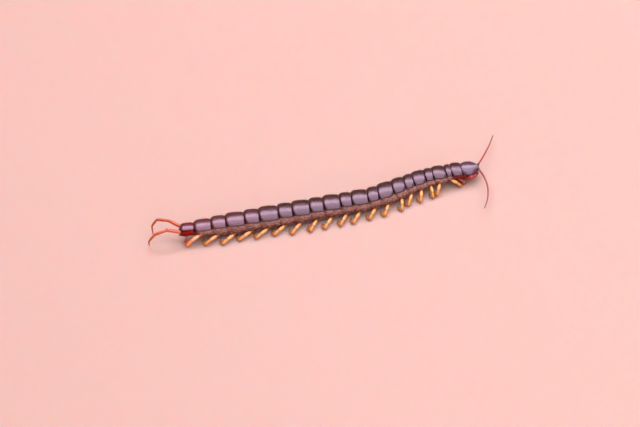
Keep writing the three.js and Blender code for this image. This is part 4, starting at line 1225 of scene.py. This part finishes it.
# Materials.


def paint(code):
    """A linear colour from a 0xRRGGBB code."""
    parts = [(code >> shift & 255) / 255 for shift in (16, 8, 0)]
    return (*[p / 12.92 if p <= 0.04045 else ((p + 0.055) / 1.055) ** 2.4 for p in parts], 1.0)


class Finish:
    """A material under construction, with short names for its nodes."""

    def __init__(self, name, **fixed):
        self.material = bpy.data.materials.new(name)
        self.material.use_nodes = True
        self.tree = self.material.node_tree
        self.shader = self.tree.nodes["Principled BSDF"]
        for key, value in fixed.items():
            self.shader.inputs[key.replace("_", " ")].default_value = value
        self.grain = self.attribute("lay", "Vector")

    def node(self, kind, inputs, output=0, **settings):
        made = self.tree.nodes.new(f"ShaderNode{kind}")
        for key, value in settings.items():
            setattr(made, key, value)
        for key, value in inputs.items():
            if isinstance(value, bpy.types.NodeSocket):
                self.tree.links.new(value, made.inputs[key])
            else:
                made.inputs[key].default_value = value
        return made.outputs[output]

    def attribute(self, name, output="Fac"):
        return self.node("Attribute", {}, output, attribute_name=name)

    def station(self):
        return self.node("SeparateXYZ", {0: self.grain}, 0)

    def maths(self, operation, a, b=0.0):
        return self.node("Math", {0: a, 1: b}, operation=operation)

    def times(self, a, b):
        return self.maths("MULTIPLY", a, b)

    def stretched(self, x, y, z):
        return self.node("VectorMath", {0: self.grain, 1: (x, y, z)}, operation="MULTIPLY")

    def noise(self, scale, detail=3.0, rough=0.55, at=None, distortion=0.0):
        inputs = {"Vector": at or self.grain, "Scale": scale, "Detail": detail, "Roughness": rough,
                  "Distortion": distortion}
        return self.node("TexNoise", inputs, "Fac")

    def cells(self, scale):
        return self.node("TexVoronoi", {"Vector": self.grain, "Scale": scale}, "Distance")

    def span(self, value, low, high, to_low=0.0, to_high=1.0):
        inputs = {"Value": value, "From Min": low, "From Max": high, "To Min": to_low, "To Max": to_high}
        return self.node("MapRange", inputs, interpolation_type="SMOOTHSTEP")

    def uneven(self, scale, low, high):
        """A roughness that wanders between two values."""
        return self.span(self.noise(scale), 0.3, 0.7, low, high)

    def blend(self, share, first, second):
        """One colour into another by a share. Colours are codes or sockets."""
        first, second = (paint(c) if isinstance(c, int) else c for c in (first, second))
        return self.node("Mix", {0: share, 6: first, 7: second}, 2, data_type="RGBA")

    def tinge(self, colour, code, value, low, high, most=1.0):
        """A colour with another laid over it, up to a share, where a value goes from low to high."""
        return self.blend(self.span(value, low, high, 0.0, most), colour, code)

    def wash(self, colour, code, name, most):
        """A colour with another laid over it by an attribute of the mesh, up to a share."""
        return self.blend(self.times(self.attribute(name), most), colour, code)

    def ramp(self, value, stops):
        """A colour that follows a value through stops of (place, colour code)."""
        colour = stops[0][1]
        for (low, _), (high, code) in zip(stops, stops[1:]):
            colour = self.tinge(colour, code, value, low, high)
        return colour

    def bump(self, *layers):
        """Bump from layers of (height socket, depth in millimetres)."""
        normal = None
        for height, depth in layers:
            inputs = {"Height": height, "Distance": depth * MM, "Strength": 1.0}
            if normal:
                inputs["Normal"] = normal
            normal = self.node("Bump", inputs)
        self.set(Normal=normal)

    def set(self, **sockets):
        for key, socket in sockets.items():
            self.tree.links.new(socket, self.shader.inputs[key.replace("_", " ")])


# A shell's two cloudy colours, those of its margins and its seams, and the tint of its shine. The seam colour
# is partly painted shade.
BACK_SHELL = (0x281109, 0x34170C, 0x160604, 0x070203, (1.0, 0.69, 0.96, 1.0))
HEAD_SHELL = (0x3A2434, 0x442A3A, 0x1C0A0C, 0x0C0405, (1.0, 0.80, 1.0, 1.0))
# The painted highlight line behind a back plate's front edge, and the stations where the plates turn redder.
FRONT_HIGHLIGHT_LINE = (0xA88CA2, 0.30)
REDDER_PLATES = (0x4E201E, 100.0, 158.0, 0.85)
LAST_PLATE = (0x4E0E12, 160.0, 163.0, 0.8)


def tint_plates(f, colour):
    """What only the back plates have: a painted highlight line near the front, and red towards the tail."""
    from_front = f.attribute("along")
    # A painted highlight: a pale line just behind the plate's front edge.
    line = f.times(f.span(from_front, 0.35, 0.5), f.span(from_front, 0.85, 0.65))
    code, strength = FRONT_HIGHLIGHT_LINE
    colour = f.blend(f.times(line, strength), colour, code)
    for code, low, high, most in (REDDER_PLATES, LAST_PLATE):
        colour = f.tinge(colour, code, f.station(), low, high, most)
    return colour


def shell_finish(name, look, more=None):
    """Glossy dark shell: cloudy colour, darker margins, seams and sutures darkened partly by painted shade,
    fine pits and fine scratches across.
    """
    deep, warm, margin, seam, tint = look
    f = Finish(name, IOR=1.82, Coat_Weight=0.22, Coat_Roughness=0.14, Coat_IOR=1.5, Specular_Tint=tint)
    colour = f.tinge(deep, warm, f.noise(0.32, 4.0, 0.6, distortion=0.4), 0.34, 0.68)
    colour = f.tinge(colour, margin, f.noise(2.4, 5.0, 0.65), 0.5, 0.78, 0.22)
    # Darker margins towards the side edges, and painted shade in the sutures and the head's furrow.
    colour = f.wash(colour, margin, "tone", 0.80)
    if more:
        colour = more(f, colour)
    # The seam colour on the hind margins and front edges: partly the shell's own dark margin, partly painted
    # shade.
    f.set(Base_Color=f.wash(colour, seam, "part", 0.96))
    dull = f.noise(0.5, 3.0, 0.55, at=f.stretched(1.0, 0.45, 1.0))
    rough = f.span(dull, 0.3, 0.75, 0.27, 0.36)
    f.set(Roughness=f.maths("ADD", rough, f.times(f.attribute("part"), 0.14)))
    margin_and_shade_mask = f.maths("MAXIMUM", f.attribute("part"), f.times(f.attribute("tone"), 0.8))
    f.set(Specular_IOR_Level=f.span(margin_and_shade_mask, 0.0, 1.0, 0.5, 0.10))
    pits = f.span(f.cells(3.4), 0.05, 0.42)
    lines = f.noise(1.6, 3.0, 0.6, at=f.stretched(3.2, 0.35, 1.0))
    f.bump((lines, 0.0035), (pits, 0.001), (f.noise(9.0, 2.0, 0.5), 0.0006))
    return f.material


# The flank from its top edge down, brown with painted shade just under the plate's edge and on its lower
# half, and the two ends of the trunk, by their stations, where it turns red.
FLANK_COLOUR_AND_SHADE_STOPS = [(0.0, 0x3E2224), (0.08, 0x74483F), (0.30, 0x7A4A3C), (0.56, 0x4C1A10), (0.84, 0x4A170E),
               (1.25, 0x7A4526)]
# Near the head the deep red is partly the skin's own colour and partly painted shade under the first plate
# and the head.
RED_FRONT = (0x560602, 9.5, 4.0, 0.94)
RED_HIND = (0x5E0702, 156.0, 161.5, 0.92)


def skin_finish():
    """The flanks' wrinkled satin skin: mottled brown with painted shade under the plates and low on the
    flank, redder at both ends of the trunk.
    """
    f = Finish("flank skin", IOR=1.5, Coat_Weight=0.08, Coat_Roughness=0.32)
    clouds = f.noise(0.62, 4.0, 0.62, distortion=0.9)
    streaks = f.noise(1.5, 4.0, 0.6, at=f.stretched(0.42, 1.5, 1.0), distortion=1.2)
    spots = f.noise(1.9, 5.0, 0.68, distortion=0.6)
    mottling = [
        (0xA67468, clouds, 0.50, 0.66, 0.72), (0x40201F, clouds, 0.46, 0.32, 0.70),
        (0xC49A8C, streaks, 0.56, 0.68, 0.60),
        (0xB08878, spots, 0.54, 0.70, 0.35), (0x34191A, spots, 0.46, 0.32, 0.50),
    ]
    # Dark just under the plate's edge and towards the belly: painted shade.
    base = f.ramp(f.attribute("along"), FLANK_COLOUR_AND_SHADE_STOPS)
    for code, value, low, high, most in mottling:
        base = f.tinge(base, code, value, low, high, most)
    base = f.wash(base, 0x5A3632, "part", 0.20)
    # Painted shade in the flank's creases, folds and spiracle pits.
    base = f.wash(base, 0x2A1213, "tone", 0.50)
    ends = []
    for code, low, high, most in (RED_FRONT, RED_HIND):
        ends.append(f.span(f.station(), low, high, 0.0, most))
        base = f.blend(ends[-1], base, code)
    f.set(Base_Color=base, Specular_IOR_Level=f.span(f.maths("MAXIMUM", *ends), 0.0, 0.9, 0.42, 0.04))
    rough = f.span(f.noise(2.2, 5.0, 0.65), 0.3, 0.7, 0.40, 0.60)
    f.set(Roughness=f.maths("SUBTRACT", rough, f.times(f.attribute("part"), 0.12)))
    wrinkle = f.noise(1.3, 5.0, 0.62, at=f.stretched(0.75, 1.25, 1.0), distortion=0.8)
    f.bump((wrinkle, 0.20), (f.cells(4.6), 0.03))
    return f.material


def belly_finish():
    """Thin brown-amber belly plates, darker at their hind edge, with painted shade in their sutures."""
    f = Finish("belly shell", IOR=1.55, Coat_Weight=0.35, Coat_Roughness=0.18)
    colour = f.tinge(0x7A4524, 0x94602F, f.noise(0.5, 4.0, 0.6), 0.35, 0.7)
    colour = f.tinge(colour, 0x7A2A18, f.attribute("part"), 0.7, 1.0, 0.6)
    # Painted shade in the sutures.
    colour = f.wash(colour, 0x4A2412, "tone", 0.6)
    colour = f.tinge(colour, 0x552C16, f.attribute("along"), 0.88, 1.0)
    f.set(Base_Color=colour, Roughness=f.uneven(1.2, 0.28, 0.42))
    f.bump((f.noise(1.4, 4.0, at=f.stretched(0.5, 2.0, 1.0)), 0.03), (f.cells(3.8), 0.012))
    return f.material


# Each limb shell's colours: stops from root to tip, some of them painted highlight or shade, the joints, and
# a haze over the shell.
LIMB_LOOKS = {
    "leg shell": {
        # The pale stop on the first long article is a painted highlight; the dark root and the darkening
        # towards the tip are partly painted shade under the body.
        "stops": [(0.0, 0x8A3C16), (0.167, 0xDC9650), (0.333, 0xC0761A), (0.50, 0xA05C10), (0.667, 0x8A520E),
                  (0.833, 0x6E420E), (1.0, 0x3A200C)],
        "joint": 0x8A4A16, "haze": 0xEFA85E,
    },
    "first leg shell": {
        # Dark red: partly the first pair's own colour, partly painted shade under the venom claws.
        "stops": [(0.0, 0x6A120A), (0.167, 0x8A2A12), (0.333, 0x96421A), (0.667, 0x7A3A12), (1.0, 0x3A1A0C)],
        "joint": 0x5A1A0C, "haze": 0xA04A1E,
    },
    "last leg shell": {
        # The pale stop on the first long article is a painted highlight.
        "stops": [(0.0, 0xA8501E), (0.167, 0xEBA274), (0.333, 0xE8883C), (0.50, 0xD9541A), (0.667, 0xC84014),
                  (0.833, 0xA03410), (1.0, 0x4A1A0A)],
        "joint": 0x943A12, "haze": 0xF0A060,
    },
    "hind leg shell": {
        "stops": [(0.0, 0xB04016), (0.22, 0xAE4616), (0.50, 0xA84810), (0.80, 0x98420E), (1.0, 0x4E200E)],
        "joint": 0x7E2A10, "haze": 0xDC7A44,
    },
    # Very dark red: the head's underside, darkened as painted shade under the shield.
    "head underside": {"stops": [(0, 0x3A0806), (1, 0x480A07)], "joint": 0x240504, "haze": 0x5A120C},
    "tail side shell": {
        "stops": [(0, 0x760601), (0.4, 0x7C0701), (1, 0x7C1606)], "joint": 0x4E0402, "haze": 0x8A1006,
        "coat": 0.0, "shine": 0.06,
    },
}
CLAW_BLACK = 0x170B07


def limb_finish(name, stops, joint, haze, coat=0.45, shine=0.5):
    """Glossy limb shell: its colour follows the limb, with darker joints and fine lengthwise grain."""
    f = Finish(name, IOR=1.55, Coat_Weight=coat, Coat_Roughness=0.12, Specular_IOR_Level=shine,
               Subsurface_Weight=0.12, Subsurface_Scale=0.0006, Subsurface_Radius=(1.0, 0.45, 0.2))
    colour = f.ramp(f.attribute("part"), stops)
    colour = f.tinge(colour, haze, f.noise(1.5, 4.0, 0.6, distortion=0.3), 0.50, 0.76, 0.40)
    colour = f.tinge(colour, joint, f.attribute("along"), 0.62, 1.0, 0.22)
    colour = f.wash(colour, joint, "tone", 0.55)
    tip = f.times(f.span(f.attribute("part"), 0.86, 0.98), f.span(f.attribute("tone"), 0.05, 0.6))
    colour = f.blend(tip, colour, CLAW_BLACK)
    f.set(Base_Color=colour, Roughness=f.uneven(2.2, 0.26, 0.40))
    f.bump((f.noise(3.0, 3.0, at=f.stretched(0.4, 2.0, 2.0)), 0.025), (f.cells(5.2), 0.010))
    return f.material


ANTENNA_STOPS = [(0.0, 0x86140F), (0.30, 0x902018), (0.70, 0x96382A), (1.0, 0x8A5042)]
VENOM_STOPS = [(0.0, 0x8E0E0A), (0.45, 0x9E120E), (0.80, 0x800C08), (0.94, 0x240605), (1.0, 0x120504)]


def antenna_finish():
    """Red feelers: the first articles glossy, the rest dulled by their down."""
    f = Finish("feeler shell", IOR=1.5, Coat_Weight=0.1, Coat_Roughness=0.25, Sheen_Weight=0.15)
    colour = f.ramp(f.attribute("part"), ANTENNA_STOPS)
    colour = f.wash(colour, 0x5A1510, "tone", 0.55)
    colour = f.tinge(colour, 0xC98674, f.noise(7.0, 3.0, 0.7), 0.52, 0.75, 0.35)
    f.set(Base_Color=colour, Roughness=f.span(f.attribute("part"), 0.28, 0.45, 0.30, 0.56))
    f.bump((f.cells(9.0), 0.03), (f.noise(5.0, 3.0, at=f.stretched(0.5, 2.0, 2.0)), 0.015))
    return f.material


def venom_finish():
    """Deep red glossy claws that turn black at their tips."""
    f = Finish("venom claw shell", IOR=1.6, Coat_Weight=0.6, Coat_Roughness=0.07)
    colour = f.ramp(f.attribute("part"), VENOM_STOPS)
    colour = f.tinge(colour, 0x84160C, f.noise(0.9, 4.0, 0.6), 0.48, 0.75, 0.25)
    colour = f.wash(colour, 0x0E0605, "tone", 1.0)
    f.set(Base_Color=colour, Roughness=f.uneven(1.8, 0.20, 0.32))
    f.bump((f.noise(1.8, 4.0, at=f.stretched(0.5, 1.6, 1.6)), 0.008), (f.cells(3.6), 0.003))
    return f.material


def eye_finish(name, code, roughness):
    """Polished dark lenses, or the low rings round them."""
    f = Finish(name, IOR=1.6, Coat_Weight=0.8, Coat_Roughness=0.03)
    f.set(Base_Color=f.blend(f.noise(4.0), code, 0x1A0B0A),
          Roughness=f.uneven(6.0, roughness, roughness + 0.08))
    f.bump((f.noise(8.0, 2.0), 0.004))
    return f.material


def floor_finish():
    """Plain pale floor that lets a little light through, as a matt plastic does."""
    f = Finish("pale floor", Roughness=0.62, Subsurface_Weight=0.9, Subsurface_Scale=0.012,
               Subsurface_Radius=(1.0, 0.26, 0.14))
    f.grain = f.node("TexCoord", {}, "Object")
    f.set(Base_Color=f.blend(f.noise(1.5, 2.0), 0xB6948A, 0xBA998F))
    return f.material


# The stage, in metres.

FLOOR_HALF = 6.0


def make_floor():
    mesh = bpy.data.meshes.new("floor")
    corners = [(-1, -1), (1, -1), (1, 1), (-1, 1)]
    mesh.from_pydata([(x * FLOOR_HALF, y * FLOOR_HALF, 0.0) for x, y in corners], [], [(0, 1, 2, 3)])
    mesh.materials.append(floor_finish())
    floor = bpy.data.objects.new("floor", mesh)
    bpy.context.scene.collection.objects.link(floor)


# Each soft light's place, the point it faces, its size, power and colour.
PANELS = {
    "sky_panel": ((0.75, -0.40, 1.6), (0.75, -0.40, 0.0), (3.2, 1.9), 54, (0.97, 0.92, 1.0)),
    "far_panel": ((0.75, 0.98, 1.6), (0.75, 0.98, 0.0), (3.2, 0.86), 54, (1.0, 0.93, 1.0)),
    "near_panel": ((0.6, -1.9, 0.80), (0.0, 0.0, 0.0), (3.0, 1.5), 38, (1.0, 0.94, 0.98)),
}
SURROUND_COLOUR = (1.0, 0.54, 0.33, 1.0)
SURROUND_STRENGTH = 0.17


def make_panel(name, place_at, target, size, power, colour):
    """A soft rectangular light that faces a point."""
    light = bpy.data.lights.new(name, "AREA")
    light.shape = "RECTANGLE"
    light.size, light.size_y = size
    light.energy = power
    light.color = colour
    made = bpy.data.objects.new(name, light)
    made.location = place_at
    made.rotation_euler = (Vector(target) - Vector(place_at)).to_track_quat("-Z", "Y").to_euler()
    bpy.context.scene.collection.objects.link(made)


def make_lights():
    for name, panel in PANELS.items():
        make_panel(name, *panel)
    world = bpy.data.worlds.new("studio")
    world.use_nodes = True
    background = world.node_tree.nodes["Background"]
    background.inputs["Color"].default_value = SURROUND_COLOUR
    background.inputs["Strength"].default_value = SURROUND_STRENGTH
    bpy.context.scene.world = world


CAMERA_ELEVATION = 42.0
CAMERA_ROLL = 12.0
CAMERA_LENS = 100.0
CAMERA_DISTANCE = 1.0347
CAMERA_TARGET = (-0.0043, -0.0057, 0.0038)


def make_camera():
    """Looks along +Y from the animal's right, down at its back, and rolled as the photo is."""
    up, roll = math.radians(CAMERA_ELEVATION), math.radians(CAMERA_ROLL)
    level = Vector((1, 0, 0))
    upright = Vector((0, math.sin(up), math.cos(up)))
    back = Vector((0, -math.cos(up), math.sin(up)))
    right = level * math.cos(roll) - upright * math.sin(roll)
    above = level * math.sin(roll) + upright * math.cos(roll)
    camera = bpy.data.objects.new("camera", bpy.data.cameras.new("camera"))
    camera.data.lens = CAMERA_LENS
    camera.data.clip_start = 0.01
    place_at = Vector(CAMERA_TARGET) + back * CAMERA_DISTANCE
    camera.matrix_world = Matrix.Translation(place_at) @ Matrix((right, above, back)).transposed().to_4x4()
    bpy.context.scene.collection.objects.link(camera)
    bpy.context.scene.camera = camera


def make_animal():
    """Every piece of the animal, each in its material."""
    limbs = {name: limb_finish(name, **look) for name, look in LIMB_LOOKS.items()}
    make_trunk_skin(skin_finish())
    make_plates(add_back_plate, "back_plate", shell_finish("back shell", BACK_SHELL, tint_plates))
    make_plates(add_belly_plate, "belly_plate", belly_finish())
    end_limbs = {0: limbs["first leg shell"], LEG_PAIRS - 1: limbs["last leg shell"]}
    for pair in range(LEG_PAIRS):
        for side in SIDE_NAMES:
            make_walking_leg(pair, side, end_limbs.get(pair, limbs["leg shell"]))
    venom = venom_finish()
    make_head_shield(shell_finish("head shell", HEAD_SHELL))
    make_head_body(limbs["head underside"])
    make_claw_plate(venom)
    make_mouth(venom)
    lens, ring = eye_finish("eye lens", 0x040303, 0.05), eye_finish("eye ring", 0x1E1012, 0.3)
    feeler = antenna_finish()
    for side in SIDE_NAMES:
        make_hind_leg(side, limbs["hind leg shell"])
        make_eyes(side, lens, ring)
        make_antenna(side, feeler)
        make_venom_claw(side, venom)
    make_tail(limbs["tail side shell"])


make_camera()
make_lights()
make_floor()
make_animal()

bpy.context.scene.view_settings.view_transform = "Standard"
